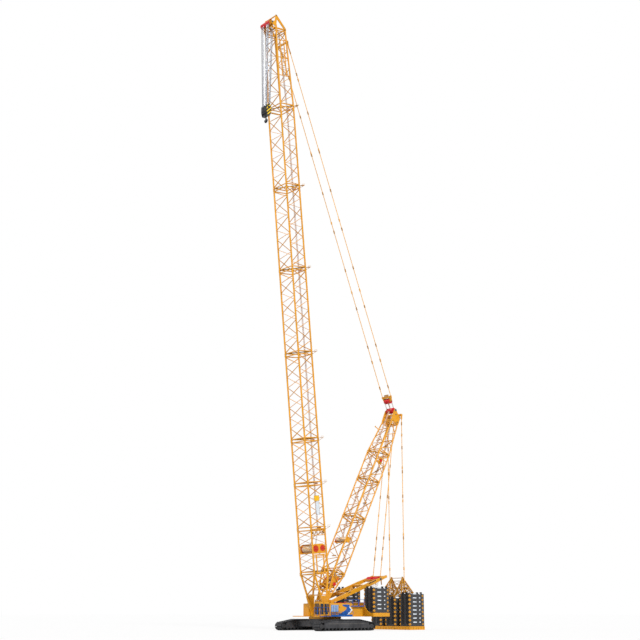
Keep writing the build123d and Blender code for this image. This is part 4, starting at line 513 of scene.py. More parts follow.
class Maker:
    """The closed solids of one piece, in millimetres of its frame, each with its paint."""

    def __init__(self):
        self.mesh = bmesh.new()
        self.paints = []

    def index(self, paint_name):
        if paint_name not in self.paints:
            self.paints.append(paint_name)
        return self.paints.index(paint_name)

    def shell(self, points, faces, paint_name):
        made = [self.mesh.verts.new(point) for point in points]
        for face in faces:
            self.mesh.faces.new([made[i] for i in face]).material_index = self.index(paint_name)

    def block(self, x0, x1, y0, y1, z0, z1, paint_name="amber"):
        points = [(x, y, z) for x in sorted((x0, x1)) for y in sorted((y0, y1)) for z in sorted((z0, z1))]
        self.shell(points, BLOCK_FACES, paint_name)

    def prism(self, low, high, paint_name="amber"):
        """A closed shell between two outlines of equal length."""
        n = len(low)
        faces = [tuple(range(n)), tuple(range(2 * n - 1, n - 1, -1))]
        faces += [(i, n + i, n + (i + 1) % n, (i + 1) % n) for i in range(n)]
        self.shell([*low, *high], faces, paint_name)

    def plate(self, outline, y0, y1, paint_name="amber"):
        """A plate in an XZ plane from y0 to y1."""
        self.prism([(x, y0, z) for x, z in outline], [(x, y1, z) for x, z in outline], paint_name)

    def beam(self, a, b, width, height, paint_name="amber"):
        """A square bar from a to b, its width along Y where it can be."""
        a, b = Vector(a), Vector(b)
        way = (b - a).normalized()
        side = Vector((0, 1, 0)) if abs(way.y) < 0.9 else Vector((1, 0, 0))
        up = way.cross(side).normalized() * height / 2
        side = up.cross(way).normalized() * width / 2
        ring = [side + up, side - up, -side - up, -side + up]
        self.prism([a + v for v in ring], [b + v for v in ring], paint_name)

    def turned(self, start, way, profile, sides=20, paint_name="amber"):
        """A turned shape about the line from start along way, through (distance, radius) pairs."""
        start, way = Vector(start), Vector(way).normalized()
        side = way.orthogonal().normalized()
        other = way.cross(side)
        spokes = [side * math.cos(2 * math.pi * i / sides) + other * math.sin(2 * math.pi * i / sides)
                  for i in range(sides)]
        points = [start + way * along + spoke * radius for along, radius in profile for spoke in spokes]
        faces = [tuple(range(sides)), tuple(range(len(points) - 1, len(points) - sides - 1, -1))]
        for ring in range(len(profile) - 1):
            base = ring * sides
            for i in range(sides):
                j = (i + 1) % sides
                faces.append((base + i, base + sides + i, base + sides + j, base + j))
        self.shell(points, faces, paint_name)

    def rod(self, a, b, radius, sides=10, paint_name="amber"):
        a, b = Vector(a), Vector(b)
        self.turned(a, b - a, [(0, radius), ((b - a).length, radius)], sides, paint_name)

    def grow(self, kind, paint_name="amber", values=None, points=((0, 0, 0),), edges=(), attributes=None):
        """Adds what a geometry tree makes."""
        mesh = grown(kind, paint_name, values, points, edges, attributes)
        first = len(self.mesh.faces)
        self.mesh.from_mesh(mesh)
        bpy.data.meshes.remove(mesh)
        self.mesh.faces.ensure_lookup_table()
        slot = self.index(paint_name)
        for face in self.mesh.faces[first:]:
            face.material_index = slot

    def tubes(self, runs, paint_name="amber", sides=8):
        """Round tubes along runs, each a list of points with one radius."""
        points, edges, radii = [], [], []
        for run, radius in runs:
            for i, point in enumerate(run):
                if i:
                    edges.append((len(points) - 1, len(points)))
                points.append(point)
                radii.append(float(radius))
        self.grow("tubes", paint_name, {"Sides": sides}, points, edges, {"radius": radii})

    def row(self, count, start, step, block, paint_name="amber"):
        values = {"Count": count, "Start": tuple(start), "Step": tuple(step), "Size": tuple(block)}
        self.grow("row", paint_name, values)

    def copies(self, fitting, points, aim, side, paint_name="pin", scale=1.0):
        """Copies of a fitting, its z along aim and its x along side."""
        aims = aim if isinstance(aim, list) else [aim] * len(points)
        sides = side if isinstance(side, list) else [side] * len(points)
        attributes = {"aim": [tuple(v) for v in aims], "side": [tuple(v) for v in sides]}
        self.grow("copies", paint_name, {"Fitting": fitting, "Scale": scale}, points, (), attributes)

    def bars(self, ends, radius, paint_name="amber", sides=8):
        """Straight round bars, each between its pair of ends."""
        self.tubes([(pair, radius) for pair in ends], paint_name, sides)

    def axle(self, x, z, y0, y1, radius):
        self.rod((x, y0, z), (x, y1, z), radius, 16, "pin")

    def cap(self, place, out, radius, reach=5):
        """The stepped end of a pin."""
        profile = [(0, radius), (3, radius), (3, 0.6 * radius), (reach, 0.55 * radius)]
        self.turned(place, out, profile, 18, "pin")

    def bolts(self, points, out, scale, side=FORE):
        self.copies(FITTINGS["bolt"], points, out, side, "pin", scale)

    def piece(self, name, matrix, body, bevel=0.0, replaces=(), smooth=38.0):
        """The finished object, in place and riding on its body if it has one."""
        bmesh.ops.recalc_face_normals(self.mesh, faces=self.mesh.faces)
        mesh = bpy.data.meshes.new(name)
        self.mesh.to_mesh(mesh)
        self.mesh.free()
        mesh.transform(matrix)
        mesh.shade_smooth()
        mesh.set_sharp_from_angle(angle=math.radians(smooth))
        for paint_name in self.paints:
            mesh.materials.append(MATERIALS[paint_name])
        made = bpy.data.objects.new(name, mesh)
        bpy.context.scene.collection.objects.link(made)
        if bevel:
            edge = made.modifiers.new("Edges", "BEVEL")
            edge.width, edge.segments, edge.limit_method = bevel * 0.001, 2, "ANGLE"
            edge.angle_limit = math.radians(BEVEL_FROM)
            edge.use_clamp_overlap = True
        if body:
            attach(made, body)
        if replaces:
            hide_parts(*replaces)
        return made


def hidden_fitting(name, maker):
    """A small fitting that trees copy; it isn't linked to the scene."""
    bmesh.ops.recalc_face_normals(maker.mesh, faces=maker.mesh.faces)
    mesh = bpy.data.meshes.new(name)
    maker.mesh.to_mesh(mesh)
    maker.mesh.free()
    return bpy.data.objects.new(name, mesh)


FITTINGS = {}


COLLAR_CHORD = 13.2                                     # the chord radius that a collar is drawn for
COLLAR_PROFILE = ((-21, 1.02), (-19, 1.3), (-9, 1.36), (-8, 1.12), (8, 1.12), (9, 1.36), (19, 1.3),
                  (21, 1.02))


def forge_fittings():
    """Bolt, chord collar, cross pin and slab lug."""
    for name, foot, profile, sides, paint_name in (
            ("bolt", -0.3, [(0, 4.2), (1.0, 4.2), (1.0, 2.9), (2.9, 2.7)], 6, "pin"),
            ("collar", 0, [(along, radius * COLLAR_CHORD) for along, radius in COLLAR_PROFILE], 12, "amber"),
            ("pin", -24, [(0, 4.5), (2, 6.2), (46, 6.2), (48, 4.5)], 8, "amber"),
            ("lug", 0, [(0, 18), (10.5, 18), (12.5, 15), (12.5, 8), (14.5, 7)], 8, "amber")):
        maker = Maker()
        maker.turned((0, 0, foot), UP, profile, sides, paint_name)
        FITTINGS[name] = hidden_fitting(name, maker)


def corners(x, depth, width, z):
    """Front right, front left, rear left and rear right chord at one end of a piece."""
    front, rear, half = x + depth / 2, x - depth / 2, width / 2
    return [Vector((x, y, z)) for x, y in ((front, -half), (front, half), (rear, half), (rear, -half))]


SIDES = {"front": (0, 1), "left": (1, 2), "rear": (2, 3), "right": (3, 0)}


THICK_CHORD = 10.5                                      # a boom's chord is thicker, a mast's thinner
END_FRAMES = (17.0, 22.0)                               # end frames from the ends of a piece: mast, boom
COLLAR_PINS = (-13, 13)                                 # cross pins above and below a joint


def rung(maker, low, high, i, j, share, radius, sides, paint_name="amber"):
    """A tube from chord i to chord j at one share of the length."""
    maker.rod(low[i].lerp(high[i], share), low[j].lerp(high[j], share), radius, sides, paint_name)


def zigzag(maker, low, high, face, bays, first, last, radius, sides):
    """Zigzag lacing on one face, from one share of the length to another."""
    i, j = SIDES[face]
    maker.grow("zigzag", "amber", {
        "Chord A low": tuple(low[i]), "Chord A high": tuple(high[i]),
        "Chord B low": tuple(low[j]), "Chord B high": tuple(high[j]),
        "Bays": bays, "First": first, "Last": last, "Radius": radius, "Sides": sides})


def laced(maker, low, high, bays, chord, lacing, sides, faces="front left rear right"):
    """Round chords, end frames and zigzag lacing of a four-chord piece."""
    length = (high[0] - low[0]).length
    for a, b in zip(low, high):
        maker.rod(a, b, chord, sides + 4)
    end = END_FRAMES[chord > THICK_CHORD] / length
    inset = end + 1.2 * lacing / length
    for face in faces.split():
        for share in (end, 1 - end):
            rung(maker, low, high, *SIDES[face], share, lacing, sides)
        zigzag(maker, low, high, face, bays, inset, 1 - inset, lacing, sides)
    for share, (i, j) in ((end, (0, 2)), (1 - end, (1, 3))):
        rung(maker, low, high, i, j, share, 0.9 * lacing, sides, "shadow")


def joint_pins(maker, places, chord):
    """Collars round the chords where pieces meet, each with its cross pin."""
    scale = chord / COLLAR_CHORD
    maker.copies(FITTINGS["collar"], places, UP, FORE, "amber", scale)
    pins = [place + Vector((0, 0, dz)) for place in places for dz in COLLAR_PINS]
    maker.copies(FITTINGS["pin"], pins, LEFT, FORE, "pin", 0.85 * scale)


# ---------------------------------------------------------------- boom
BOOM_PIECES = [
    ("boom_base", 546.0, 590.0), ("boom_insert_1", 1136.0, 600.0), ("boom_insert_2", 1736.0, 600.0),
    ("boom_insert_3", 2336.0, 1200.0), ("boom_insert_4", 3536.0, 1200.0), ("boom_insert_5", 4736.0, 1200.0),
    ("boom_insert_6", 5936.0, 1200.0), ("boom_head", 7136.0, 1176.0),
]
BOOM_X, BOOM_DEPTH, BOOM_WIDTH = 30.0, 234.0, 292.0
BOOM_REAR, BOOM_FRONT, BOOM_LEFT = BOOM_X - BOOM_DEPTH / 2, BOOM_X + BOOM_DEPTH / 2, BOOM_WIDTH / 2
BAY = 150.0                                             # the usual bay of lacing
HEAD_TOP, HEAD_DEPTH, HEAD_WIDTH = 8312.0, 166.0, 250.0
HEAD_AXLE = (174.0, 8405.0)
WINCH_Z = 866.0
LADDER_X, LADDER_FOOT, LADDER_TOP = (BOOM_X - 42, BOOM_X + 28), 7600, 8150
BOARDS = ((-12, 44, 1316, 1490, "board"), (-21, 66, 1500, 1572, "board_yellow"))


def build_boom():
    """Chords, lacing and pinned joints of the boom's eight pieces."""
    sizes = bpy.context.scene.crane_sizes
    chord, lacing, sides = sizes.boom_chord * 1000, sizes.lacing * 1000, sizes.tube_sides
    for name, start, length in BOOM_PIECES:
        maker = Maker()
        end = start + length
        end_size = (HEAD_DEPTH, HEAD_WIDTH) if name == "boom_head" else (BOOM_DEPTH, BOOM_WIDTH)
        low, high = corners(BOOM_X, BOOM_DEPTH, BOOM_WIDTH, start), corners(BOOM_X, *end_size, end)
        if name == "boom_base":
            laced(maker, low, high, 6, chord, lacing, sides, "front rear right")
            for z in (start + 8, WINCH_Z - 78, end - 8):
                maker.rod((BOOM_REAR, BOOM_LEFT, z), (BOOM_FRONT, BOOM_LEFT, z), lacing, sides)
            for x in (BOOM_X - 62, BOOM_X + 62):
                maker.rod((x, BOOM_LEFT, start + 8), (x, BOOM_LEFT, WINCH_Z - 78), 1.2 * lacing, sides)
        else:
            laced(maker, low, high, round(length / BAY), chord, lacing, sides)
        joint_pins(maker, low, chord)
        maker.piece(name + "_tubes", BOOM, "boom", replaces=(name,))


def build_boom_fittings():
    """Roller brackets, platforms, blank boards and the ladder frame of the boom."""
    maker = Maker()
    near, far, outer = BOOM_REAR - 16, BOOM_REAR - 60, BOOM_LEFT + 50
    for _, start, _ in BOOM_PIECES[1:]:
        z = start + 6
        maker.block(BOOM_REAR - 20, BOOM_REAR - 8, -34, 34, z - 6, z + 6)
        for y in (-24, -8, 8, 24):
            maker.turned((BOOM_REAR - 24, y - 6, z), LEFT, [(0, 9), (4, 6.5), (8, 6.5), (12, 9)], 12, "red")
        maker.block(far - 2, near + 2, BOOM_LEFT - 6, outer + 2, z + 10, z + 12, "grating")
        rail = [(near, outer, z + 30), (far, outer, z + 30), (far, BOOM_LEFT - 4, z + 30)]
        for x, y, top in rail:
            maker.rod((x, y, z + 10), (x, y, top), 1.1, 6)
        for a, b in zip(rail, rail[1:]):
            maker.rod(a, b, 1.1, 6)
        maker.beam((BOOM_REAR, BOOM_LEFT, z - 30), (BOOM_REAR - 56, BOOM_LEFT + 44, z + 9), 4, 4)
    for x in LADDER_X:
        maker.rod((x, BOOM_LEFT - 13, LADDER_FOOT), (x, BOOM_LEFT - 20, LADDER_TOP), 8.0, 8)
    rungs = [[(x, BOOM_LEFT - 17, z) for x in LADDER_X] for z in range(LADDER_FOOT + 25, LADDER_TOP, 66)]
    maker.bars(rungs, 4.2, "amber_dark", 6)
    for z in (LADDER_FOOT, (LADDER_FOOT + LADDER_TOP) / 2, LADDER_TOP):
        maker.rod((BOOM_REAR + 24, BOOM_LEFT - 17, z), (BOOM_FRONT - 30, BOOM_LEFT - 17, z), 6, 8)
    maker.piece("boom_roller_brackets", BOOM, "boom")

    boards = Maker()
    for x0, x1, z0, z1, paint_name in BOARDS:
        boards.block(x0, x1, BOOM_LEFT + 7, BOOM_LEFT + 10, z0, z1, paint_name)
    for x0, x1, z0, z1, _ in BOARDS:
        rim = [(x, BOOM_LEFT + 10.5, z) for x, z in ((x0, z0), (x1, z0), (x1, z1), (x0, z1), (x0, z0))]
        boards.tubes([(rim, 1.2)], "pin", 6)
        boards.bolts([(x, BOOM_LEFT + 10, z) for x in (x0 + 4, x1 - 4) for z in (z0 + 5, z1 - 5)], LEFT, 0.5)
    x0, x1 = BOOM_REAR + 60, BOOM_FRONT - 60
    for z in (1330, 1476, 1536):
        boards.block(x0, x1, BOOM_LEFT + 3, BOOM_LEFT + 7, z - 3, z + 3, "amber_dark")
    boards.piece("boom_boards", BOOM, "boom")


MAST_AXLE, GANTRY_TOP = (64, 3016), 940                 # axles of the two heads, in their leaning frames
DECK_DRUMS, DECK_DRUM_Z = (-120.0, -290.0, -440.0), 312


# One sheave's section: share of its width, share of its radius
GROOVE = ((0.02, 0.45), (0.06, 0.97), (0.16, 1.0), (0.40, 0.85), (0.60, 0.85), (0.84, 1.0), (0.94, 0.97),
          (0.98, 0.45))


def grooved(maker, x, z, y0, y1, radius, count, paint_name="red"):
    """Sheaves side by side on one axle along Y, each with its rope groove."""
    pitch = (y1 - y0) / count
    profile = [((i + share) * pitch, part * radius) for i in range(count) for share, part in GROOVE]
    maker.turned((x, y0, z), LEFT, profile, 28, paint_name)


def wound(maker, x, z, reach, core, flange, pitch=5.0, layer="brown_rope"):
    """Rope laid on a drum between its flanges, and the rims of the flanges."""
    inner = reach - 8.5
    turns = int(2 * inner / pitch)
    step = 2 * inner / turns
    depth = core + 0.55 * (flange - core)
    profile = []
    for i in range(turns):
        profile += [(i * step, depth), (i * step + 0.5 * step, depth + 0.42 * step)]
    maker.turned((x, -inner, z), LEFT, profile + [(2 * inner, depth)], 24, layer)
    edge, lip = flange + 1.8, flange + 1.0
    rim = [(0, core), (0, lip), (1.5, edge), (6.5, edge), (7.6, lip), (7.6, core)]
    for s in (-1, 1):
        maker.turned((x, s * (reach - 0.1), z), (0, -s, 0), rim, 32, "red")
        maker.bolts(upright_ring(12, x, s * (reach - 9.5), z, 0.5 * (core + flange)), (0, -s, 0), 0.8)


def sheave_pack(node, name, body, radius, count, overhang, axle, gap=0, paint_name="red"):
    """The sheaves of one node, in one pack or in two with a gap, on their axle."""
    low, high = span(node)
    x, _, z = (low + high) / 2
    maker = Maker()
    for y0, y1 in ((low.y, -gap), (gap, high.y)) if gap else ((low.y, high.y),):
        grooved(maker, x, z, y0, y1, radius, count, paint_name)
    maker.axle(x, z, low.y - overhang, high.y + overhang, axle)
    maker.piece(name, DECK, body, replaces=(node,))


def bent_band(maker, turns, outer, inner, y0, y1):
    """A red band bent round the head's axle."""
    x, z = HEAD_AXLE
    outline = [(x + r * math.cos(a), z + r * math.sin(a)) for r, order in ((outer, 1), (inner, -1))
               for a in turns[::order]]
    maker.plate(outline, y0, y1, "red")


def build_head_sheaves():
    """Sheaves of the boom head and their guard."""
    head = Maker()
    # the head sheaves in the darker amber: painted shade
    grooved(head, *HEAD_AXLE, -101, 101, 42, 14, "amber_dark")
    head.piece("head_sheave_pack", BOOM, "boom_sheaves", replaces=("head_sheaves",))
    guard = Maker()
    turns = [math.radians(-58 + 160 * k / 14) for k in range(15)]
    bent_band(guard, turns, 44.4, 42.8, -104, 104)
    for y in (-104, -52, 0, 52, 104):
        bent_band(guard, turns, 44.9, 42.4, y - 3, y + 3)
    guard.piece("head_sheave_guard", BOOM, "boom")


def build_boom_winches():
    """Drums, cheek discs and frame of the winches in the boom's base."""
    winch = Maker()
    for x, z, core, flange in ((52, 4, 40, 50), (-56, 8, 30, 42)):
        wound(winch, BOOM_X + x, WINCH_Z + z, BOOM_LEFT - 26, core, flange, layer="drum_rope")
    for x, z, r in ((82, 870, 44), (-34, 872, 40)):
        disc = [(0, r), (3.5, r), (3.5, r - 5), (2, r - 6), (2, 16), (6, 15), (9, 10)]
        for s in (-1, 1):
            y = s * 133.8
            winch.turned((x, y, z), (0, s, 0), disc, 28, "red")
            hub, edge = upright_ring(6, x, y + s * 3, z, 14), upright_ring(6, x, y + s * 3, z, r - 4)
            for a, b in zip(hub, edge):
                winch.beam(a, b, 3, 4, "amber_dark")
    left, rear, front = BOOM_LEFT - 4, BOOM_REAR + 8, BOOM_FRONT - 8
    levels = (1104, 1046)
    winch.bars([((rear, left, z), (front, left, z)) for z in levels[::-1]], 5.0)
    # the hatch's diagonals in the darker amber: painted shade
    steps = [BOOM_REAR + 12 + 35 * k for k in range(7)]
    hatch = [((a, left, levels[k % 2]), (b, left, levels[1 - k % 2]))
             for k, (a, b) in enumerate(zip(steps, steps[1:]))]
    winch.bars(hatch, 4.2, "amber_dark")
    for x in (BOOM_REAR + 24, BOOM_FRONT - 30):
        winch.plate([(x - 14, 552), (x + 14, 552), (x + 14, 574), (x - 8, 590)], left - 2, left + 3, "shadow")
        winch.block(x - 14, x + 14, left - 8, left - 4, 1062, 1092, "shadow")
    winch.bars([((rear, left, z), (front, left, z)) for z in (752, 770)], 5.0)
    winch.piece("boom_winch_ropes", BOOM, "boom")


def build_sheaves():
    """Sheave packs and wound drums of mast, gantry, deck and block, one piece for each body."""
    mast = Maker()
    for x, z, core, flange in ((4, 250, 24, 33), (-12, 336, 26, 36)):
        wound(mast, x, z, 86, core, flange, 4.5)
    wound(mast, 44, 905, 118, 25, 35, 4.5, "drum_rope")
    for s, y in flanks("mast_winches"):
        mast.turned((4, y - s, 250), (0, s, 0), [(0, 25), (2.4, 25), (2.4, 15), (3.4, 14)], 26, "red")
        mast.turned((-12, y - s, 336), (0, s, 0), [(0, 17), (2.4, 17), (2.4, 9), (3.4, 8)], 22, "red")
    grooved(mast, *MAST_AXLE, -66, 66, 40, 6)
    mast.axle(*MAST_AXLE, -94, 94, 8)
    mast.piece("mast_sheave_pack", MAST, "mast", replaces=("mast_head_sheaves",))

    gantry = Maker()
    for y0, y1 in ((-118, -12), (12, 118)):
        grooved(gantry, 0, GANTRY_TOP, y0, y1, 34, 5)
    gantry.axle(0, GANTRY_TOP, -130, 130, 7)
    gantry.piece("gantry_sheave_pack", GANTRY, "gantry_body", replaces=("gantry_sheaves",))

    low, high = span("gantry_rope_sheaves")
    sheave_pack("gantry_rope_sheaves", "anchor_sheave_pack", "upperstructure", (high.z - low.z) / 2, 5, 6, 7)
    deck = Maker()
    for x in DECK_DRUMS:
        wound(deck, x, DECK_DRUM_Z, 106, 46, 58, 5.0, "red")
    deck.piece("deck_winch_ropes", DECK, "upperstructure")
    sheave_pack("luffing_sheaves", "luffing_sheave_pack", "pendants", 36, 5, 12, 8)
    sheave_pack("hook_sheaves", "hook_sheave_pack", "block", 34, 4, 10, 9, 5, "black")


# ---------------------------------------------------------------- mast
MAST_PIECES = [
    ("mast_base", 425.0, 845.0), ("mast_insert", 1270.0, 600.0), ("mast_upper", 1870.0, 450.0),
    ("mast_head_lattice", 2320.0, 520.0),
]
MAST_DEPTH, MAST_WIDTH, MAST_TOP = 185.0, 270.0, 2960.0
MAST_TIP_DEPTH, MAST_TIP_WIDTH = 120, 200


def build_mast():
    """Chords, lacing and pinned joints of the mast's four pieces."""
    sizes = bpy.context.scene.crane_sizes
    chord, lacing, sides = sizes.mast_chord * 1000, sizes.lacing * 1000, sizes.tube_sides
    for name, start, length in MAST_PIECES:
        maker = Maker()
        low = corners(0, MAST_DEPTH, MAST_WIDTH, start)
        if name == "mast_head_lattice":
            high = corners(0, MAST_TIP_DEPTH, MAST_TIP_WIDTH, start + length)
            laced(maker, low, high, 4, chord, lacing, sides, "front left right")
            for share in (0.015, 0.5, 0.985):
                rung(maker, low, high, *SIDES["rear"], share, lacing, sides)
            zigzag(maker, low, high, "rear", 2, 0.03, 0.485, lacing, sides)
        else:
            high = corners(0, MAST_DEPTH, MAST_WIDTH, start + length)
            laced(maker, low, high, round(length / BAY), chord, lacing, sides)
        joint_pins(maker, low, chord)
        maker.piece(name + "_tubes", MAST, "mast", replaces=(name,))


def build_mast_brackets():
    """Cover and bearing on the left side, rope bracket and cross plates of the mast."""
    maker = Maker()
    y, rear, front = MAST_WIDTH / 2, 4 - MAST_DEPTH / 2, MAST_DEPTH / 2 - 12
    maker.plate([(-20, 2142), (34, 2142), (40, 2167), (34, 2222), (-20, 2222)], y - 24, y - 6)
    maker.block(-14, 28, y - 6, y - 4, 2148, 2216, "amber_dark")
    maker.turned((8, y - 4, 2182), LEFT, [(0, 20), (3, 20), (3, 11), (5, 10)], 20, "red")
    for z in (2136, 2220):
        maker.block(-90, 90, y - 20, y - 14, z, z + 8)
    maker.turned((66, -106, 2700), (48, -44, 34), [(0, 7), (70, 7), (70, 10), (80, 10)], 12)
    for z in (640, 1100, 1560, 2080, 2500):
        for x in (rear, front):
            maker.block(x, x + 8, -40, 40, z - 6, z + 6, "amber_dark")
    maker.piece("mast_brackets", MAST, "mast")


# ---------------------------------------------------------------- ropes
def reeved(a, b, rows, radius, near, far, splay=0):
    """Rope runs between two sheave packs, above and below their axles, in rows across."""
    way = (b - a).normalized()
    across = Vector((-way.z, 0, way.x))
    runs = []
    for y in rows:
        for s in (-1, 1):
            end = Vector((0, y + math.copysign(splay, y), 0))
            runs.append((a + across * s * near + Vector((0, y, 0)), b + across * s * far + end))
    maker = Maker()
    maker.bars(runs, radius, "brown_rope", 6)
    return maker


def build_ropes():
    """Hoist falls, luffing reeving, gantry reeving and the runs along boom and mast."""
    axle = on_deck(BOOM, HEAD_AXLE[0], 0, HEAD_AXLE[1])
    foot = centre("hook_sheaves")
    runs = []
    for side in (-1, 1):
        for k in range(7):
            top_y, foot_y = side * (24 + 11 * (k + 0.5)), side * (13 + 6.3 * (k + 0.5))
            for s in (-1, 1):
                runs.append(((foot.x + s * 29, foot_y, foot.z + 4), (axle.x + s * 38, top_y, axle.z - 6)))
    falls = Maker()
    falls.bars(runs, bpy.context.scene.crane_sizes.rope * 1000, "rope", 6)
    made = falls.piece("hoist_falls", DECK, None)
    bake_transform(made)

    lead = Maker()
    runs = []
    for k, y in enumerate((-16, -9.6, -3.2, 3.2, 9.6, 16)):
        drum, back = BOOM_X + (52 if k % 2 else -56), BOOM_REAR + 4
        runs.append(([(drum, 0.6 * y, WINCH_Z + 40), (back, y, 1142), (back, y, 7142),
                      (BOOM_X - 60, y, HEAD_TOP + 40), (HEAD_AXLE[0] - 6, y, 8446)], 1.4))
    lead.tubes(runs, "brown_rope", 6)
    lead.piece("boom_lead_ropes", BOOM, "boom")

    lead = Maker()
    runs = []
    rear, front = -MAST_DEPTH / 2 + 4, MAST_DEPTH / 2 - 4
    for y in (-18, -11, -4, 4, 11, 18):
        runs.append(([(-24, y, 352), (rear, y, 640), (rear, y, 2500), (36, y, 2990)], 1.8))
        runs.append(([(62, y, 920), (front, y, 1100), (front, y, 2500), (92, y, 2998)], 1.8))
    lead.tubes(runs, "brown_rope", 6)
    lead.piece("mast_lead_ropes", MAST, "mast")

    head = on_deck(MAST, MAST_AXLE[0], 0, MAST_AXLE[1])
    reeving = reeved(centre("luffing_sheaves"), head, (-46, -39, -32, 32, 39, 46), 1.5, 30, 34)
    reeving.piece("luffing_reeving", DECK, "pendants")

    anchor, head = centre("gantry_rope_sheaves"), on_deck(GANTRY, 0, 0, GANTRY_TOP)
    reeving = reeved(anchor, head, (-56, -42, -28, -14, 14, 28, 42, 56), 1.2, 23, 29, 30)
    made = reeving.piece("gantry_reeving", DECK, None)
    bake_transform(made)


# ---------------------------------------------------------------- hook
def build_hook():
    """Striped cheek plates, caps and bolts of the block, and the forged double hook."""
    low, high = span("hook_block")
    x, axle_z = (low.x + high.x) / 2, high.z - 52
    right = [(20, 6), (37, 62), (37, 140), (30, 158), (14, 168)]
    outline = [(-20, 6)] + right + [(-dx, dz) for dx, dz in right[:0:-1]]
    maker = Maker()
    for s, y in flanks("hook_block"):
        out, face = (0, s, 0), y + s * 2.4
        maker.plate([(x + dx, low.z + dz) for dx, dz in outline], y, face, "hazard")
        maker.turned((x, y, axle_z), out, [(0, 20), (4, 20), (4, 13), (7, 12)], 20, "black")
        maker.bolts(upright_ring(6, x, y + s * 4, axle_z, 15), out, 0.55)
        corner = ((-14, 14), (14, 14), (-31, 66), (31, 66))
        maker.bolts([(x + dx, face, low.z + dz) for dx, dz in corner], out, 0.9)
    for s, x in ((-1, low.x), (1, high.x)):
        for y0, y1 in ((-58, -8), (8, 58)):
            maker.block(x - s * 3, x + s, y0, y1, low.z + 64, high.z - 34, "black")
            maker.row(5, (x + s * 1.5, (y0 + y1) / 2, low.z + 74), (0, 0, 14), (2.4, y1 - y0 - 8, 4), "black")
    maker.piece("block_guards", DECK, "block", bevel=0.6)

    low, high = span("ramshorn_hook")
    x, z, bow = (low.x + high.x) / 2, low.z + 38, 27.5
    hook = Maker()
    turns = [math.radians(-205 + 230 * k / 24) for k in range(25)]
    points = [Vector((x, bow * math.cos(a), z + bow * math.sin(a))) for a in turns]
    radii = [11.0 - 0.022 * (k - 12) ** 2 for k in range(25)]
    hook.grow("tubes", "black", {"Sides": 16}, points, [(k, k + 1) for k in range(24)], {"radius": radii})
    shank = [(0, 9), (10, 13), (30, 12), (42, 9.5), (high.z - z + 12, 9.2)]
    hook.turned((x, 0, z - 20), UP, shank, 20, "black")
    hook.turned((x, 0, high.z - 8), UP, [(0, 16), (7.5, 16), (8, 14)], 6, "pin")
    hook.piece("forged_hook", DECK, "hook", replaces=("ramshorn_hook",), smooth=60)


# ---------------------------------------------------------------- tracks
TRACK_Y, HALF_LENGTH, END_RADIUS, FLAT_HALF, TRACK_TOP = 405.0, 490.0, 58.0, 215.0, 150.0
SHOES_RUN, SHOE_HALF_WIDTH = 2100.0, 68.9               # length of a belt, half the width of a shoe
FRAME_HALF, ROLLER_Z, WHEEL_X = 56, 39, 432             # half width, rollers and end wheels of a frame


END_INSET = 3.4                                         # the chain's chords cut inside the end wheels


def track_loop(inset):
    """The closed line of a track, inset from the outside of its shoes and a little more at the end wheels."""
    end_x, radius = HALF_LENGTH - END_RADIUS, END_RADIUS - inset - END_INSET
    tilt = math.atan2(TRACK_TOP - 2 * END_RADIUS, end_x - FLAT_HALF)
    points = [(end_x - 26, inset)]
    for k in range(13):
        angle = -math.pi / 2 + (math.pi - tilt) * k / 12
        points.append((end_x + radius * math.cos(angle), END_RADIUS + radius * math.sin(angle)))
    points += [(FLAT_HALF, TRACK_TOP - inset), (0, TRACK_TOP - inset), (-FLAT_HALF, TRACK_TOP - inset)]
    return points + [(-x, z) for x, z in reversed(points[:14])]


def build_tracks():
    """Shoes with grousers and chain lugs round both loops."""
    count = bpy.context.scene.crane_sizes.shoes
    pitch = SHOES_RUN / count
    half, skin = 0.41 * pitch, 3.2
    shoe = Maker()
    shoe.block(-half, half, -SHOE_HALF_WIDTH, SHOE_HALF_WIDTH, -skin, skin, "shoe")
    for x in (-half, half - 4.5):                       # grousers along both edges
        shoe.block(x, x + 4.5, -68, 68, skin, skin + 3.0, "shoe")
    for y in (-25, 14):                                 # chain lugs, reaching over the next shoe
        shoe.block(-0.30 * pitch, 0.52 * pitch, y, y + 11, -10.5, -skin, "shoe")
    for y in (-60, 60):                                 # raised ends
        shoe.block(-half + 5, half - 5, y - 6, y + 6, skin, 5.4, "shoe")
    fitting = hidden_fitting("shoe", shoe)
    loop = track_loop(7.4)
    ends = [(i, (i + 1) % len(loop)) for i in range(len(loop))]
    for side, name in ((1, "left"), (-1, "right")):
        maker = Maker()
        points = [(x, side * TRACK_Y, z) for x, z in loop]
        maker.grow("track", "shoe", {"Shoes": count, "Shoe": fitting}, points, ends)
        maker.piece(f"track_{name}_shoes", DECK, "undercarriage", bevel=0.5, replaces=(f"track_{name}",))


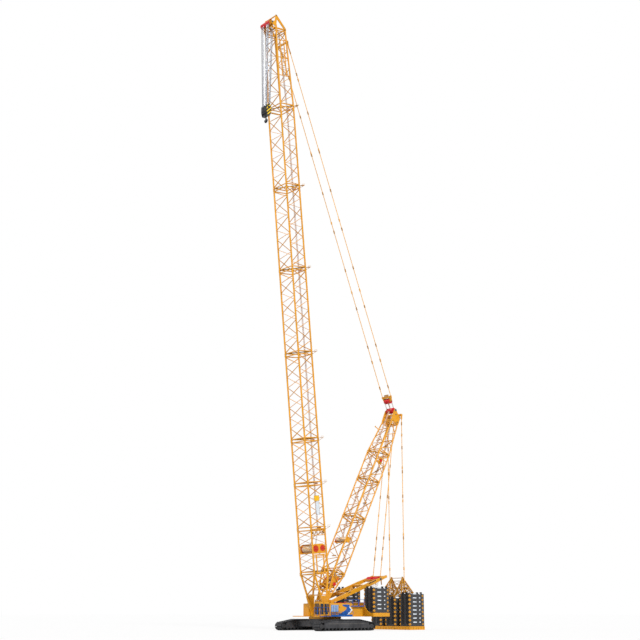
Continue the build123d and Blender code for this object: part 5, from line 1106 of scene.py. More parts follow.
def build_crawler_fittings():
    """Roller caps, sprockets, covers, steps and bolts of the crawler frames and carbody."""
    maker = Maker()
    roller = [(0, 13.5), (5, 13.5), (6.5, 11), (6.5, 6), (9, 5)]
    hub = [(0, 30), (4, 30), (6, 27), (6, 15), (10, 14), (11, 8)]
    for side in (-1, 1):
        for face in (-1, 1):
            y = side * TRACK_Y + face * FRAME_HALF
            out = (0, face, 0)
            for k in range(13):
                maker.turned((734 * (k / 12 - 0.5), y - face, ROLLER_Z), out, roller, 16, "steel")
            for x in (-WHEEL_X, WHEEL_X):
                maker.turned((x, y - face, END_RADIUS), out, hub, 24, "steel")
                maker.bolts(upright_ring(10, x, y + face * 5, END_RADIUS, 22), out, 0.9)
            maker.plate([(-300, 96), (300, 96), (318, 88), (-318, 88)], y, y + face * 3.0, "pin")
            for k in range(19):
                x = -306 + 34 * k
                maker.block(x - 2.5, x + 2.5, y, y + face * 2.2, 58, 88, "steel")
            maker.bolts([(-280 + 40 * k, y + face * 3, 92) for k in range(15)], out, 0.7)
            maker.block(-150, 150, y, y + face * 2.0, 60, 86, "steel")
    for x in (-150, 150):
        for s in (-1, 1):
            maker.bolts([(x + dx, s * dy, 128.2) for dx in (-34, 0, 34) for dy in (230, 262, 294)], UP, 1.0)
    maker.bolts(flat_ring(angles(60), 150.4, 211), UP, 0.55)
    maker.piece("crawler_fittings", DECK, "undercarriage")


# ---------------------------------------------------------------- ballast
SLAB_WIDTH, SLAB_PITCH = 192.0, 54.5


def dress_stack(name, stack, body, counts, patches):
    """Corner lugs, pockets, blank patches and top handles of one stack of plates."""
    low, high = span(stack)
    lugs, aims, maker = [], [], Maker()
    for i in range(counts):
        z = low.z + (i + 0.5) * SLAB_PITCH
        for across, y in ((-1, low.y + 12), (1, high.y - 12)):
            lugs.append((low.x + 24, y, z))
            aims.append((0, across, 0))
        for across, y in ((-1, low.y + 6), (1, high.y - 6)):
            lugs.append((high.x - 6, y, z))
            aims.append((0.5, 0.866 * across, 0))
        for x0, x1 in ((low.x + 70, low.x + 92), (low.x + 144, low.x + 210)):
            for s in patches:
                face = high.y if s > 0 else low.y
                maker.block(x0, x1, face, face + s * 1.4, z + 20, z + 35, "board")
        # dark pockets in the end faces, each between two ribs: painted shade in the recesses
        for x, out in ((high.x - 4.6, 1), (low.x + 4.6, -1)):
            for share in (0.20, 0.60):
                a, b = low.y + share * SLAB_WIDTH, low.y + (share + 0.20) * SLAB_WIDTH
                maker.block(x - out, x + out * 1.2, a, b, z + 3, z + 51, "pocket")
                for y in (a - 3, b):
                    maker.block(x + out * 1.2, x + out * 3.4, y, y + 3, z + 1, z + 53, "ballast")
    maker.copies(FITTINGS["lug"], lugs, aims, UP, "lug")
    y, top = (low.y + high.y) / 2, high.z
    for x in (low.x + 84, high.x - 84):
        half = [(-24, -3), (-24, 3), (-20, 6)]
        handle = [(x + dx, y, top + dz) for dx, dz in half + [(-dx, dz) for dx, dz in half[::-1]]]
        maker.tubes([(handle, 2.8)], "black", 8)
    maker.piece(name, DECK, body)


def build_ballast():
    """Fittings of the superstructure's ballast and of the three stacks on the tray."""
    for side in ("left", "right"):
        dress_stack(f"ballast_{side}_fittings", f"ballast_{side}", "upperstructure", 6, (1, -1))
    for side, counts, patches in (("left", 8, (1, -1)), ("middle", 7, ()), ("right", 8, (1, -1))):
        dress_stack(f"tray_{side}_fittings", f"tray_stack_{side}", "tray", counts, patches)


def build_trestles():
    """Bracing, feet and pins of the tray's two trestles."""
    maker = Maker()
    low, high = span("tray_trestles")
    x0, x1 = low.x + 11, high.x - 11
    outer_y, inner_y, outer_z, inner_z = 214, 62, 490.0, 436.0

    def post(a, b, radius=3.6, sides=8):
        maker.rod(a, b, radius, sides, "lug")

    heads = [Vector(((x0 + x1) / 2, s * 115, 706.0)) for s in (-1, 1)]
    for s, head in zip((-1, 1), heads):
        feet = [Vector((x1, s * outer_y, outer_z)), Vector((x0, s * outer_y, outer_z)),
                Vector((x0, s * inner_y, inner_z)), Vector((x1, s * inner_y, inner_z))]
        for level, upper in ((0.0, 0.26), (0.26, 0.52), (0.52, 0.76)):
            for a, b in zip(feet, feet[1:] + feet[:1]):
                post(a.lerp(head, level), b.lerp(head, upper))
                post(b.lerp(head, level), a.lerp(head, upper))
                post(a.lerp(head, upper), b.lerp(head, upper), 3.2)
        for foot in feet:
            maker.turned(foot + Vector((0, 0, -4)), UP, [(0, 14), (3, 14), (4, 12)], 12, "amber_dark")
        maker.turned(head + Vector((-12, 0, 0)), FORE, [(0, 6), (1, 7), (23, 7), (24, 6)], 12, "pin")
    for x in (x0, x1):
        inner = [Vector((x, s * inner_y, inner_z)) for s in (-1, 1)]
        outer = [Vector((x, s * outer_y, outer_z)) for s in (-1, 1)]
        for low_share, high_share in ((0.05, 0.45), (0.45, 0.85)):
            for s in (0, 1):
                post(inner[s].lerp(heads[s], low_share), inner[1 - s].lerp(heads[1 - s], high_share))
        for share in (0.05, 0.45, 0.85):
            post(inner[0].lerp(heads[0], share), inner[1].lerp(heads[1], share))
        for s in (0, 1):
            post(outer[s].lerp(heads[s], 0.3), inner[s].lerp(heads[s], 0.75), 3.2)
    post(*heads, 4.2, 10)
    maker.piece("trestle_bracing", DECK, "tray")


def build_tray():
    """Ribs, edge strips and hooks of the tray."""
    deck = Maker()
    low, high = span("tray_base")
    for s, y in flanks("tray_base"):
        deck.row(6, (low.x + 22, y + s * 0.6, 20), (48, 0, 0), (6, 3.0, 30), "amber_dark")
        deck.block(low.x + 4, high.x - 4, y, y + s * 1.6, 36, 46)
    step = (high.y - low.y - 48) / 13
    deck.row(14, (high.x + 0.8, low.y + 24, 18), (0, step, 0), (3.0, 7, 28), "amber_dark")
    for y in (-330, -110, 110, 330):
        hook = [(high.x, y, 30), (high.x + 8, y, 28), (high.x + 11, y, 20), (high.x + 7, y, 14)]
        deck.tubes([(hook, 2.4)])
    deck.piece("tray_ribs", DECK, "tray")


# ---------------------------------------------------------------- superstructure
WALL_FOOT, WALL_TOP = 195, 340
LEFT_BAND = ((4, 193), (4, 203), (-40, 222), (-87, 243), (-140, 278), (-148, 298), (-112, 308), (-74, 322),
             (-74, 337), (-196, 337), (-200, 306), (-219, 284), (-219, 258), (-158, 193))
CHEVRON = ((-207, 311), (-249, 267), (-166, 193), (-138, 193), (-222, 267), (-184, 311))


def build_house_left():
    """Grille, rails, side band, doors and roof hatches of the left house."""
    low, high = span("house_left")
    y, roof, centre_y = high.y, high.z, (low.y + high.y) / 2
    wall = y + 1.2
    maker = Maker()
    grille_x0, grille_x1 = -2.0, 126.0
    maker.block(grille_x0, grille_x1, y - 1, wall + 0.6, 241, 332, "pale_grille")
    maker.row(22, (grille_x0 + 5, wall + 1.2, 286), (5.6, 0, 0), (2.0, 2.0, 84), "pale_grille")
    for x, wide in ((grille_x0 + 18, 10), (grille_x0 + 56, 18), (grille_x0 + 98, 14)):
        maker.block(x, x + wide, wall, wall + 2.6, 243, 330, "board_blue")
    maker.row(5, (12, wall + 1.5, 233), (25, 0, 0), (11, 3, 8), "shadow")
    for z in (204, 222):
        maker.bars([((132, wall + 4, z), (-66, wall + 4, z))], 2.4, "blue")
    maker.bars([((x, wall + 4, 196), (x, wall + 4, 240)) for x in (130, 92, 54, 16, -22, -64)], 1.8, "blue")
    maker.plate(LEFT_BAND, y - 1, wall, "blue")
    maker.plate(CHEVRON, y - 1, wall + 0.5, "band_white")
    for x in (high.x - 160, high.x - 300):
        maker.block(x - 0.8, x + 0.8, y - 1, wall + 0.2, WALL_FOOT, WALL_TOP, "amber_dark")
    for x in (high.x - 166, high.x - 306):
        maker.block(x - 9, x - 4, wall, wall + 3, 300, 312, "black")
        maker.bolts([(x + 12, wall, z) for z in (216, 324)], LEFT, 0.8)
    for x in range(int(low.x) + 40, int(high.x) - 40, 88):
        maker.block(x, x + 62, low.y + 18, high.y - 22, roof - 1, roof + 3)
        maker.block(x + 26, x + 36, high.y - 30, high.y - 26, roof + 3, roof + 6, "black")
    maker.row(18, (low.x + 24, centre_y, roof + 3.6), (8, 0, 0), (3, high.y - low.y - 44, 1.6), "amber_dark")
    maker.piece("house_left_panels", DECK, "upperstructure", bevel=0.4)


def build_house_right():
    """Doors, side band, roof hatches and exhausts of the right house."""
    low, high = span("house_right")
    y, roof, centre_y = low.y, high.z, (low.y + high.y) / 2
    maker = Maker()
    for k in range(1, 5):
        x = low.x + k * (high.x - low.x) / 5
        maker.block(x - 0.9, x + 0.9, y - 1.0, y + 1, WALL_FOOT, WALL_TOP, "amber_dark")
        maker.block(x - 16, x - 11, y - 4, y - 1, 262, 274, "black")
        maker.bolts([(x + 10, y - 0.6, z) for z in (212, 268, 324)], (0, -1, 0), 0.8)
    band = [(high.x - 4, 193), (high.x - 4, 226), (low.x + 170, 226), (low.x + 110, 262), (low.x + 150, 318),
            (low.x + 60, 318), (low.x + 30, 262), (low.x + 90, 193)]
    maker.plate(band, y - 1.2, y + 1, "blue")
    for x in range(int(low.x) + 30, int(high.x) - 60, 92):
        maker.block(x, x + 66, low.y + 22, high.y - 18, roof - 1, roof + 3)
    for x in (low.x + 120, low.x + 150):
        maker.turned((x, low.y + 60, roof - 1), UP, [(0, 11), (46, 11), (46, 9), (52, 9)], 20, "black")
    maker.row(20, (low.x + 230, centre_y, roof + 3.6), (8, 0, 0), (3, 70, 1.6), "amber_dark")
    maker.piece("house_right_panels", DECK, "upperstructure", bevel=0.4)


def build_walkways():
    """Rails of the walkways, the raised platform and the engine cover behind it."""
    walk = Maker()
    y = span("walkways")[1].y - 3
    walk.tubes([([(x, y, 206), (x, y, 242)], 1.7) for x in range(-236, 150, 64)]
               + [([(-236, y, 242), (148, y, 242)], 1.9)], "blue", 8)
    walk.block(-450, -252, 192, 286, 319.2, 320.4, "blue_grating")
    walk.block(-455, -216, 284.8, 286.2, 311, 322, "blue")
    floor, knee, hand = 318, 362, 404
    for y, front, posts in ((286, -246, (-453, -350, -250)), (176, -206, (-453, -330, -208))):
        walk.bars([((-455, y, z), (front, y, z)) for z in (knee, hand)], 2.2, "blue")
        walk.bars([((x, y, floor), (x, y, hand)) for x in posts], 2.2, "blue")
    walk.piece("walkway_rails", DECK, "upperstructure")

    cover = Maker()
    cover.plate([(-452, 242), (-262, 242), (-262, 360), (-270, 368), (-444, 368), (-452, 360)], 121, 165)
    cover.row(9, (-434, 166, 342), (19, 0, 0), (9, 2.4, 20), "shadow")
    cover.row(7, (-430, 143, 368.6), (24, 0, 0), (14, 30, 2.4), "amber_dark")
    cover.bolts([(x, 165, z) for x in range(-444, -260, 26) for z in (324, 358)], LEFT, 0.7)
    cover.piece("engine_cover", DECK, "upperstructure", bevel=0.6)


def build_turntable():
    """Skirt of the slewing ring, and studs and ribs of the turntable frame."""
    skirt = Maker()
    rim = [(0, 209), (0, 214), (5, 216), (22, 216), (25.5, 213), (25.5, 209)]
    skirt.turned((0, 0, 152.5), UP, rim, 72, "amber_dark")
    turns = angles(36)
    skirt.bolts(flat_ring(turns, 166, 215.5), flat_ring(turns, 0, 1), 0.9, UP)
    skirt.piece("ring_skirt", DECK, "upperstructure")

    ring = Maker()
    rear_turn = [math.pi / 2 + a for a in angles(24, math.pi) + [math.pi]]
    ring.bolts(flat_ring(rear_turn, 190.2, 190), UP, 0.7)
    for s, tip in flanks("turntable_frame"):
        ring.bolts([(x, s * 128, z) for x in range(-500, 60, 42) for z in (198, 232)], (0, s, 0), 0.7)
        ring.row(7, (-480, s * 134, 214), (58, 0, 0), (5, 12, 46))
        ring.block(-806, -530, tip, tip + s * 1.5, 184, 226)
        ring.row(5, (-790, tip + s * 0.5, 205), (62, 0, 0), (5, 4, 36))
    ring.piece("frame_ribs", DECK, "upperstructure")


def build_cab():
    """Panes, pillars, lamps, mirror, wiper, rails and controls of the cab."""
    roof = span("cab_roof")[1].z
    wall_low, wall_high = span("cab_wall_left")
    inner, outer = span("cab_wall_right")[0].y, wall_high.y
    middle = (inner + outer) / 2
    x0, x1, z0, z1 = wall_low.x, wall_high.x, wall_low.z, wall_high.z
    maker = Maker()
    maker.block(x0 + 95, x1 - 5, outer + 0.2, outer + 1.8, z0 + 11, z1 - 12, "glass")
    maker.beam((x1 - 26, outer + 1.4, z0 + 10), (x1 - 12, outer + 1.4, z1 - 10), 2.4, 5)
    maker.block(x0 + 16, x0 + 82, inner + 2, inner + 4, z0 + 50, z1 - 12, "glass")
    maker.block(x0 + 96, x1 - 8, inner + 2, inner + 4, z0 + 44, z1 - 12, "glass")
    maker.block(x0 + 2, x0 + 4, inner + 18, outer - 18, z0 + 60, z1 - 14, "glass")
    maker.block(x1 - 4.2, x1 - 2.2, inner + 10, outer - 10, z0 + 36, z1 - 10, "glass")
    foot = [(x1 - 12, z0 + 8), (x1 - 10, z0 + 8), (x1 - 2, z0 + 34), (x1 - 4, z0 + 34)]
    maker.plate(foot, inner + 10, outer - 10, "glass")
    maker.row(2, (x1 - 1.5, middle - 18, (z0 + z1) / 2 + 10), (0, 36, 0), (3, 3, z1 - z0 - 40))
    seal = [(inner + 10, z0 + 36), (outer - 10, z0 + 36), (outer - 10, z1 - 12), (inner + 10, z1 - 12)]
    maker.tubes([([(x1 + 0.4, y, z) for y, z in seal + seal[:1]], 1.3)], "rubber", 6)

    side, front = outer + 15, x1 + 5
    levels = (z0 + 55, z0 + 100)
    bars = [([(x0 + 4, side, z), (front, side, z)], 1.9) for z in levels]
    bars += [([(x, side, z0 - 6), (x, side, z0 + 100)], 1.9) for x in (x0 + 4, x0 + 56, x1 + 2)]
    bars += [([(front, inner + 6, z), (front, side, z)], 1.9) for z in levels]
    bars += [([(front, y, z0 - 4), (front, y, z0 + 104)], wide)
             for y, wide in ((inner + 6, 1.9), (outer - 38, 4.2))]
    maker.tubes(bars, "blue", 8)

    rear, nose, left, right = x0 + 12, x1 - 6, outer - 12, inner + 12
    guard = [(rear, right), (nose, right), (nose, left), (rear, left), (rear, right)]
    maker.tubes([([(x, y, roof + 9) for x, y in guard], 2.0)])
    posts = [((x, y, roof - 1), (x, y, roof + 9)) for x in (rear, nose) for y in (right, left)]
    maker.bars(posts, 1.6, "amber", 6)
    maker.row(9, (x0 + 22, middle, roof + 9), ((x1 - x0 - 40) / 8, 0, 0), (2, outer - inner - 26, 2))
    for y in (inner + 20, middle, outer - 20):
        maker.block(x1 - 8, x1 + 1, y - 8, y + 8, roof + 10, roof + 22, "black")
        maker.turned((x1 + 1, y, roof + 16), FORE, [(0, 6), (1.5, 6), (2.4, 4)], 16, "lens")
    maker.turned((x0 + 24, inner + 24, roof - 1), UP, [(0, 6), (6, 6), (6, 5), (16, 4.5), (19, 2)], 16, "lug")

    wiper, blade = x1 + 2.4, inner + 44
    maker.bars([((x1 + 2, inner + 30, z0 + 40), (wiper, inner + 52, z0 + 96))], 0.9, "black", 6)
    maker.beam((wiper, blade, z0 + 70), (wiper, blade + 18, z0 + 118), 1.6, 2.6, "rubber")
    maker.bars([((x1 - 2, outer, z1 - 30), (x1 + 8, outer + 16, z1 - 34))], 1.2, "black", 6)
    maker.block(x1 + 6, x1 + 9, outer + 10, outer + 24, z1 - 62, z1 - 34, "black")
    lever = [(0, 1.2), (10, 1.0), (11, 2.4), (15, 2.0)]
    for y in (inner + 22, outer - 40):
        maker.block(x0 + 44, x0 + 80, y, y + 12, z0 + 30, z0 + 46, "black")
        maker.turned((x0 + 72, y + 6, z0 + 46), (0.2, 0, 1), lever, 10, "black")
    maker.block(x1 - 34, x1 - 20, inner + 20, outer - 20, z0 + 6, z0 + 50, "black")
    panel = [(x1 - 38, z0 + 50), (x1 - 18, z0 + 50), (x1 - 22, z0 + 62), (x1 - 32, z0 + 60)]
    maker.plate(panel, inner + 30, outer - 30, "black")
    maker.piece("cab_fittings", DECK, "upperstructure", bevel=0.3)


def build_door():
    """Pane, seal and pillar of the sliding door."""
    door = Maker()
    low, high = span("cab_door")
    face = high.y if high.y - low.y < 6 else low.y + 4
    rear, front, foot, top = low.x + 5, high.x - 6, low.z + 12, high.z - 10
    outline = [(low.x + 22, foot), (front, foot), (front, top), (rear, top), (rear, low.z + 42)]
    door.plate(outline, face - 0.6, face + 0.9, "glass")
    door.tubes([([(x, face + 0.7, z) for x, z in outline + outline[:1]], 1.1)], "rubber", 6)
    door.beam((low.x + 16, face + 1.4, low.z + 26), (low.x + 38, face + 1.4, high.z - 12), 2.2, 5)
    door.piece("door_pane", DECK, "door")


SEAT_BACK_TILT = -96


def pad(name, centre_at, half, tilt, replaces=()):
    """A crowned cushion with a seam near each edge and a slight waist."""
    mesh = bpy.data.meshes.new(name)
    work = bmesh.new()
    bmesh.ops.create_cube(work, size=2.0)
    bmesh.ops.subdivide_edges(work, edges=work.edges[:], cuts=7, use_grid_fill=True)
    for vert in work.verts:
        u, v, w = vert.co
        crown = (1 - 0.55 * u * u) * (1 - 0.55 * v * v)
        seam = 0.10 * math.exp(-((abs(v) - 0.45) / 0.09) ** 2)
        waist = 1 - 0.07 * (1 - w * w)
        swell = 0.55 + 0.45 * crown - seam
        vert.co = Vector((u * half[0] * waist, v * half[1] * waist, w * half[2] * swell))
    work.transform(DECK @ Matrix.Translation(centre_at) @ Matrix.Rotation(math.radians(tilt), 4, "Y"))
    bmesh.ops.recalc_face_normals(work, faces=work.faces)
    work.to_mesh(mesh)
    work.free()
    mesh.shade_smooth()
    mesh.materials.append(MATERIALS["cloth"])
    made = bpy.data.objects.new(name, mesh)
    bpy.context.scene.collection.objects.link(made)
    smooth = made.modifiers.new("Soft", "SUBSURF")
    smooth.levels = smooth.render_levels = 1
    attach(made, "upperstructure")
    if replaces:
        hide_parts(*replaces)


def build_seat():
    """Pedestal, cushion, back rest and head rest of the seat."""
    low, high = span("cab_seat")
    x, y, z = low.x + 30, (low.y + high.y) / 2, low.z
    base = Maker()
    base.turned((x, y, z), UP, [(0, 17), (3, 17), (5, 9), (26, 9), (28, 18), (33, 18)], 20, "black")
    base.row(6, (x, y - 12, z + 15), (0, 0, 2.6), (24, 24, 1.4), "rubber")
    base.piece("seat_pedestal", DECK, "upperstructure", bevel=0.4)
    pad("seat_cushion", (x, y, z + 40), (23, 22, 7), 0, ("cab_seat",))
    pad("seat_back", (x - 22, y, z + 78), (30, 20, 5.5), SEAT_BACK_TILT)
    pad("seat_headrest", (x - 27, y, z + 112), (8, 12, 4.5), SEAT_BACK_TILT)


# From the middle plane to the outer faces of the gantry, the two heads and the boom's foot lugs
GANTRY_HALF, BOOM_HEAD_HALF, MAST_HEAD_HALF, FOOT_HALF = 153, 130, 106, 159


def build_gantry():
    """Blank bands, ribs, pins, bolts and cross tubes of the gantry."""
    maker = Maker()
    for s in (-1, 1):
        y, out = s * GANTRY_HALF, (0, s, 0)
        maker.block(6, 19, y, y + s * 1.2, 712, 846, "black")
        maker.block(8, 17, y, y + s, 312, 366, "black")
        maker.row(8, (-1, y + s, 180), (0, 0, 96), (44, 2.0, 4))
        for z, radius in ((0, 15), (GANTRY_TOP, 17)):
            maker.cap((0, y, z), out, radius, 5.5)
        maker.bolts([(x, y, z) for z in range(230, 900, 60) for x in (-20, 18)], out, 0.55)
    maker.bars([((0, -130, z0), (0, 130, z1)) for z0, z1 in ((350, 640), (640, 350))], 7, "amber", 10)
    maker.piece("gantry_fittings", GANTRY, "gantry_body")


def build_heads():
    """Pins, rims, edges and bolts of the boom's and the mast's head frames, and of the boom's foot."""
    head = Maker()
    for s in (-1, 1):
        y, out = s * BOOM_HEAD_HALF, (0, s, 0)
        for x, z, radius in ((*HEAD_AXLE, 15), (95, 8520, 9), (BOOM_REAR + 42, HEAD_TOP + 12, 10)):
            head.cap((x, y, z), out, radius)
        head.block(-40, 112, y, y + s * 3, HEAD_TOP + 6, HEAD_TOP + 12)
        # sloping edges of the head's side plates, each from x, z to x, z
        edges = ((-62, HEAD_TOP + 28, 86, 8524), (128, HEAD_TOP + 8, 142, 8358), (104, 8524, 126, 8430))
        head.bars([((xa, y + s, za), (xb, y + s, zb)) for xa, za, xb, zb in edges], 3.0)
    head.piece("head_frame_fittings", BOOM, "boom")

    mast = Maker()
    for s in (-1, 1):
        y, out = s * MAST_HEAD_HALF, (0, s, 0)
        for x, z, radius in ((*MAST_AXLE, 18), (30, MAST_TOP, 10), (-40, 2870, 9)):
            mast.cap((x, y, z), out, radius)
        mast.block(-60, 70, y, y + s * 3, 2848, 2856)
        mast.bolts([(x, y + s * 3, 2852) for x in range(-54, 70, 13)], out, 0.6)
        mast.turned((-22, s * 96, 2956), (-0.2, 0, 1), [(0, 9), (26, 9), (28, 12), (40, 12), (42, 8)], 14)
    mast.piece("mast_head_fittings", MAST, "mast")

    feet = Maker()
    for s in (-1, 1):
        y, out = s * FOOT_HALF, (0, s, 0)
        for z in (70, 150, 225):
            half = 14 + 0.16 * z
            feet.block(10 - half, half + 14, y, y + s * 2.5, z - 3, z + 3)
        feet.bolts([(x, y, z) for z in (50, 110, 190) for x in (-8, 24)], out, 0.8)
        feet.turned((0, y - s, 0), out, [(0, 19), (2.2, 19), (2.6, 12)], 20, "pin")
    joint_pins(feet, corners(BOOM_X, BOOM_DEPTH, BOOM_WIDTH, 540), 13.5)
    feet.piece("boom_foot_fittings", BOOM, "boom")


# Eyes of the pendants and of the stays, in the deck's frame, and the bars of each line
PENDANT_EYE, GANTRY_EYE = (770.75, 0, 8325.06), (-935.0, 0, 705.0)
PENDANT_HALF, STAY_HALF, TRAY_HALF = 90, 76, 149       # from the middle plane to each line
BAR = 590.0                                            # a full bar
PENDANT_BARS = (145, 335) + 7 * (BAR,) + (230, 400)    # from the boom's eye down
STAY_BARS = (260, BAR / 4, BAR / 4, BAR, 3 * BAR / 4)  # from the gantry's eye up
TRAY_BARS = (70, 350, 350, 350, BAR)                   # from the mast's eye down


def line_connectors(maker, a, b, bars, wide):
    """Connector cheeks with their pins where the bars of a pendant line meet, counted from a."""
    a, b = Vector(a), Vector(b)
    way = (b - a).normalized()
    middle = a
    for bar in bars:
        middle = middle + way * bar
        maker.beam(middle - way * 22, middle + way * 22, wide, wide + 4, "knot")
        half = Vector((0, wide / 2 + 2, 0))
        for s in (-1, 1):
            place = middle + way * s * 12
            maker.rod(place - half, place + half, 3.4, 10, "pin")


def build_pendants():
    """Connectors along the boom pendants, the stays and the tray pendants."""
    eye, head = Vector(PENDANT_EYE), on_deck(MAST, MAST_AXLE[0], 0, MAST_AXLE[1])
    way, length = (head - eye).normalized(), (head - eye).length
    maker = Maker()
    for s in (-1, 1):
        across = Vector((0, s * PENDANT_HALF, 0))
        line_connectors(maker, eye + across, head + across, PENDANT_BARS, 11)
        maker.beam(eye + across + way * 12, eye + across + way * 120, 12, 13)
        maker.turned(eye + Vector((0, s * PENDANT_HALF - 14, 0)), LEFT, [(0, 8), (28, 8)], 14, "pin")
    yoke = eye + way * (length - 218)
    parts = ((-26, -8, 34, "amber_dark"), (8, 26, 62, "amber"), (30, 36, 56, "shadow"))
    for near, far, half, paint_name in parts:
        maker.beam(yoke + way * near, yoke + way * far, 2 * half, 26, paint_name)
    for s in (-1, 1):
        maker.beam(yoke + way * 10 + Vector((0, s * 86, 0)), yoke + way * 66 + Vector((0, s * 70, 0)), 10, 30)
    maker.piece("boom_pendant_links", DECK, "pendants")

    stays, foot, head = Maker(), Vector(GANTRY_EYE), on_deck(MAST, 30, 0, MAST_TOP)
    for s in (-1, 1):
        across = Vector((0, s * STAY_HALF, 0))
        line_connectors(stays, foot + across, head + across, STAY_BARS, 10)
    stays.piece("stay_links", DECK, "stays")

    tray, eye = Maker(), on_deck(MAST, -45, 0, MAST_TOP)
    for y in (-TRAY_HALF, TRAY_HALF):
        line_connectors(tray, (eye.x, y, eye.z - 30), (eye.x, y, eye.z - 100), TRAY_BARS, 10)
    tray.piece("tray_pendant_links", DECK, "tray")


# ---------------------------------------------------------------- paints on the carried-over nodes
NODE_PAINT = {
    "steel": ("crawler_frame_left", "crawler_frame_right", "carbody", "slewing_ring"),
    "ballast": ("ballast_left", "ballast_right", "tray_stack_left", "tray_stack_middle", "tray_stack_right"),
    "red": ("deck_winches",),
    "blue": ("walkways",),
    "black": ("hook_block",),
    "pendant": ("boom_pendants", "mast_stays", "tray_pendants"),
    "cloth": ("cab_seat",),
    "lug": ("tray_trestles",),
}


def paint_nodes():
    by_node = {node: name for name, nodes in NODE_PAINT.items() for node in nodes}
    for node, made in NODES.items():
        for slot in made.material_slots:
            slot.material = MATERIALS[by_node.get(node, "amber")]


# ---------------------------------------------------------------- stage
FLOOR_GLOW, SKY_LIGHT = 0.74, 0.40                      # white of the floor itself, and from the sky
LAMPS = (("key_lamp", (0.45, 1.0, 0.95), 2.7, 12.0), ("fill_lamp", (0.9, -0.4, 0.4), 0.45, 40.0))
CAMERA_FROM_SLEW = (10.180, 12.524, 0.2665)             # metres from the slewing axis, at floor level
CAMERA_TURN, CAMERA_RISE = 38.871, 13.976               # degrees, from straight back and from level
CAMERA_LENS, CAMERA_SENSOR, CAMERA_REACH = 65.54, 36.0, 200.0
FLOOR_RADIUS = 60.0


def lit_floor(scene):
    """A pale floor whose own glow hides its edge from the camera."""
    look = Finish("Floor")
    tone = look.mixed(look.noise(0.8), (0.92, 0.92, 0.92), (0.93, 0.93, 0.93))
    material = look.finished(tone, look.ranged(look.noise(4.0), 0.0, 1.0, 0.8, 0.9))
    tree = look.tree
    seen = add(tree, "ShaderNodeLightPath").outputs
    share = look.maths("MULTIPLY", seen["Is Camera Ray"], FLOOR_GLOW)
    glow = add(tree, "ShaderNodeEmission", {"Color": (1, 1, 1, 1), "Strength": 1.0}).outputs[0]
    mixed = add(tree, "ShaderNodeMixShader", {0: share, 1: look.shader.outputs[0], 2: glow}).outputs[0]
    tree.links.new(mixed, tree.nodes["Material Output"].inputs["Surface"])
    work = bmesh.new()
    bmesh.ops.create_circle(work, cap_ends=True, segments=64, radius=FLOOR_RADIUS)
    mesh = bpy.data.meshes.new("floor")
    work.to_mesh(mesh)
    work.free()
    mesh.materials.append(material)
    floor = bpy.data.objects.new("floor", mesh)
    scene.collection.objects.link(floor)


def white_world(scene):
    """White surroundings, dimmer where they light the crane than where they are seen."""
    world = bpy.data.worlds.new("Studio")
    scene.world = world
    world.use_nodes = True
    tree = world.node_tree
    seen = add(tree, "ShaderNodeLightPath").outputs
    plain = seen["Is Camera Ray"]
    for ray in ("Is Glossy Ray", "Is Transmission Ray"):
        plain = add(tree, "ShaderNodeMath", {0: plain, 1: seen[ray]}, operation="MAXIMUM").outputs[0]
    level = add(tree, "ShaderNodeMapRange", {0: plain, 3: SKY_LIGHT, 4: 1.0}).outputs[0]
    tree.links.new(level, tree.nodes["Background"].inputs["Strength"])
    tree.nodes["Background"].inputs["Color"].default_value = (1, 1, 1, 1)


def build_stage():
    """Pale floor, white surroundings, soft lamps and the camera."""
    scene = bpy.context.scene
    lit_floor(scene)
    white_world(scene)
    for name, toward, strength, spread in LAMPS:
        lamp = bpy.data.lights.new(name, "SUN")
        lamp.energy, lamp.angle = strength, math.radians(spread)
        holder = bpy.data.objects.new(name, lamp)
        holder.rotation_euler = Vector(toward).to_track_quat("Z", "Y").to_euler()
        scene.collection.objects.link(holder)

    lens = bpy.data.cameras.new("camera")
    lens.sensor_width, lens.lens, lens.clip_end = CAMERA_SENSOR, CAMERA_LENS, CAMERA_REACH
    camera = bpy.data.objects.new("camera", lens)
    camera.location = (SLEW_X + CAMERA_FROM_SLEW[0], *CAMERA_FROM_SLEW[1:])
    turn, rise = math.radians(CAMERA_TURN), math.radians(CAMERA_RISE)
    look_way = Vector((-math.sin(turn) * math.cos(rise), -math.cos(turn) * math.cos(rise), math.sin(rise)))
    camera.rotation_euler = look_way.to_track_quat("-Z", "Y").to_euler()
    scene.collection.objects.link(camera)
    scene.camera = camera
    scene.view_settings.view_transform = "Standard"


# ---------------------------------------------------------------- operators and panel
class CraneStep:
    """One step of the work: runs its builders in order"""
    builders = ()

    def execute(self, context):
        for build in self.builders:
            build()
        return {"FINISHED"}


class CRANE_OT_paints(CraneStep, bpy.types.Operator):
    """Mix the paints, grow the trees and paint the bare parts"""
    bl_idname = "crane.paints"
    bl_label = "Paints"
    builders = (mix_paints, grow_trees, forge_fittings, paint_nodes)


class CRANE_OT_boom(CraneStep, bpy.types.Operator):
    """Round chords, lacing, joints and fittings of the boom"""
    bl_idname = "crane.boom"
    bl_label = "Boom"
    builders = (build_boom, build_boom_fittings)


class CRANE_OT_mast(CraneStep, bpy.types.Operator):
    """Round chords, lacing and brackets of the mast"""
    bl_idname = "crane.mast"
    bl_label = "Mast"
    builders = (build_mast, build_mast_brackets)


class CRANE_OT_sheaves(CraneStep, bpy.types.Operator):
    """Grooved sheaves and wound drums"""
    bl_idname = "crane.sheaves"
    bl_label = "Sheaves and drums"
    builders = (build_head_sheaves, build_boom_winches, build_sheaves)


class CRANE_OT_ropes(CraneStep, bpy.types.Operator):
    """Hoist falls, reeving and lead ropes"""
    bl_idname = "crane.ropes"
    bl_label = "Ropes"
    builders = (build_ropes,)


class CRANE_OT_hook(CraneStep, bpy.types.Operator):
    """Hook block guards and forged double hook"""
    bl_idname = "crane.hook"
    bl_label = "Hook"
    builders = (build_hook,)


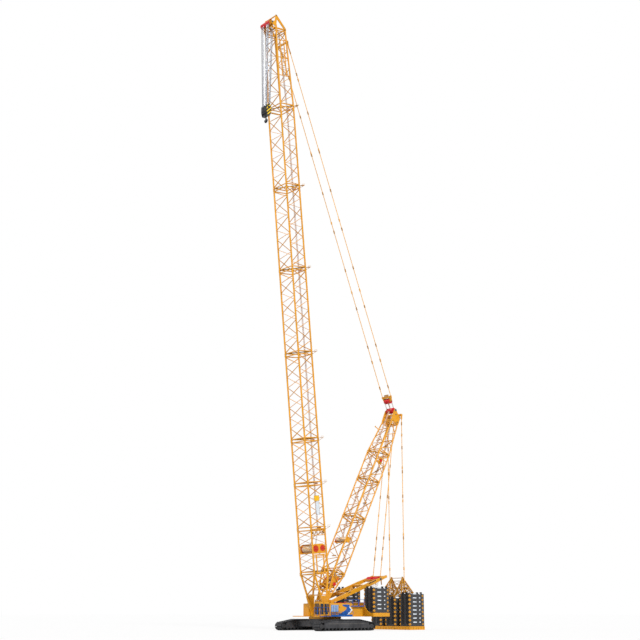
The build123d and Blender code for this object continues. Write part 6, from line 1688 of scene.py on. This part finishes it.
class CRANE_OT_tracks(CraneStep, bpy.types.Operator):
    """Track shoes and fittings of the crawler frames"""
    bl_idname = "crane.tracks"
    bl_label = "Tracks"
    builders = (build_tracks, build_crawler_fittings)


class CRANE_OT_ballast(CraneStep, bpy.types.Operator):
    """Lugs, pockets and handles of the ballast, bracing and ribs of the tray"""
    bl_idname = "crane.ballast"
    bl_label = "Ballast"
    builders = (build_ballast, build_trestles, build_tray)


class CRANE_OT_house(CraneStep, bpy.types.Operator):
    """Panels, grilles, rails and ribs of the superstructure"""
    bl_idname = "crane.house"
    bl_label = "Superstructure"
    builders = (build_house_left, build_house_right, build_walkways, build_turntable)


class CRANE_OT_cab(CraneStep, bpy.types.Operator):
    """Panes, rails, lamps, controls, door and seat of the cab"""
    bl_idname = "crane.cab"
    bl_label = "Cab"
    builders = (build_cab, build_door, build_seat)


class CRANE_OT_heads(CraneStep, bpy.types.Operator):
    """Fittings of gantry, boom head, mast head and boom foot"""
    bl_idname = "crane.heads"
    bl_label = "Heads and gantry"
    builders = (build_gantry, build_heads)


class CRANE_OT_pendants(CraneStep, bpy.types.Operator):
    """Connectors of pendants and stays"""
    bl_idname = "crane.pendants"
    bl_label = "Pendants"
    builders = (build_pendants,)


class CRANE_OT_stage(CraneStep, bpy.types.Operator):
    """Pale floor, soft lamps and the camera"""
    bl_idname = "crane.stage"
    bl_label = "Stage"
    builders = (build_stage,)


OPERATORS = (CRANE_OT_paints, CRANE_OT_boom, CRANE_OT_mast, CRANE_OT_sheaves, CRANE_OT_ropes,
             CRANE_OT_hook, CRANE_OT_tracks, CRANE_OT_ballast, CRANE_OT_house, CRANE_OT_cab,
             CRANE_OT_heads, CRANE_OT_pendants, CRANE_OT_stage)


class CRANE_PT_panel(bpy.types.Panel):
    """Sizes, colours and work steps of the crane"""
    bl_idname = "CRANE_PT_panel"
    bl_label = "Crawler crane"
    bl_space_type = "VIEW_3D"
    bl_region_type = "UI"
    bl_category = "Crane"

    def draw(self, context):
        for group in (context.scene.crane_paints, context.scene.crane_sizes):
            box = self.layout.box()
            for key in group.bl_rna.properties.keys():
                if key not in ("rna_type", "name"):
                    box.prop(group, key)
        for step in OPERATORS:
            self.layout.operator(step.bl_idname)


CLASSES = (CranePaints, CraneSizes, *OPERATORS, CRANE_PT_panel)


def register():
    for each in CLASSES:
        bpy.utils.register_class(each)
    bpy.types.Scene.crane_paints = bpy.props.PointerProperty(type=CranePaints)
    bpy.types.Scene.crane_sizes = bpy.props.PointerProperty(type=CraneSizes)


def unregister():
    del bpy.types.Scene.crane_sizes
    del bpy.types.Scene.crane_paints
    for each in reversed(CLASSES):
        bpy.utils.unregister_class(each)


def main():
    register()
    for step in OPERATORS:
        getattr(bpy.ops.crane, step.bl_idname.split(".")[1])()


if __name__ == "__main__":
    main()
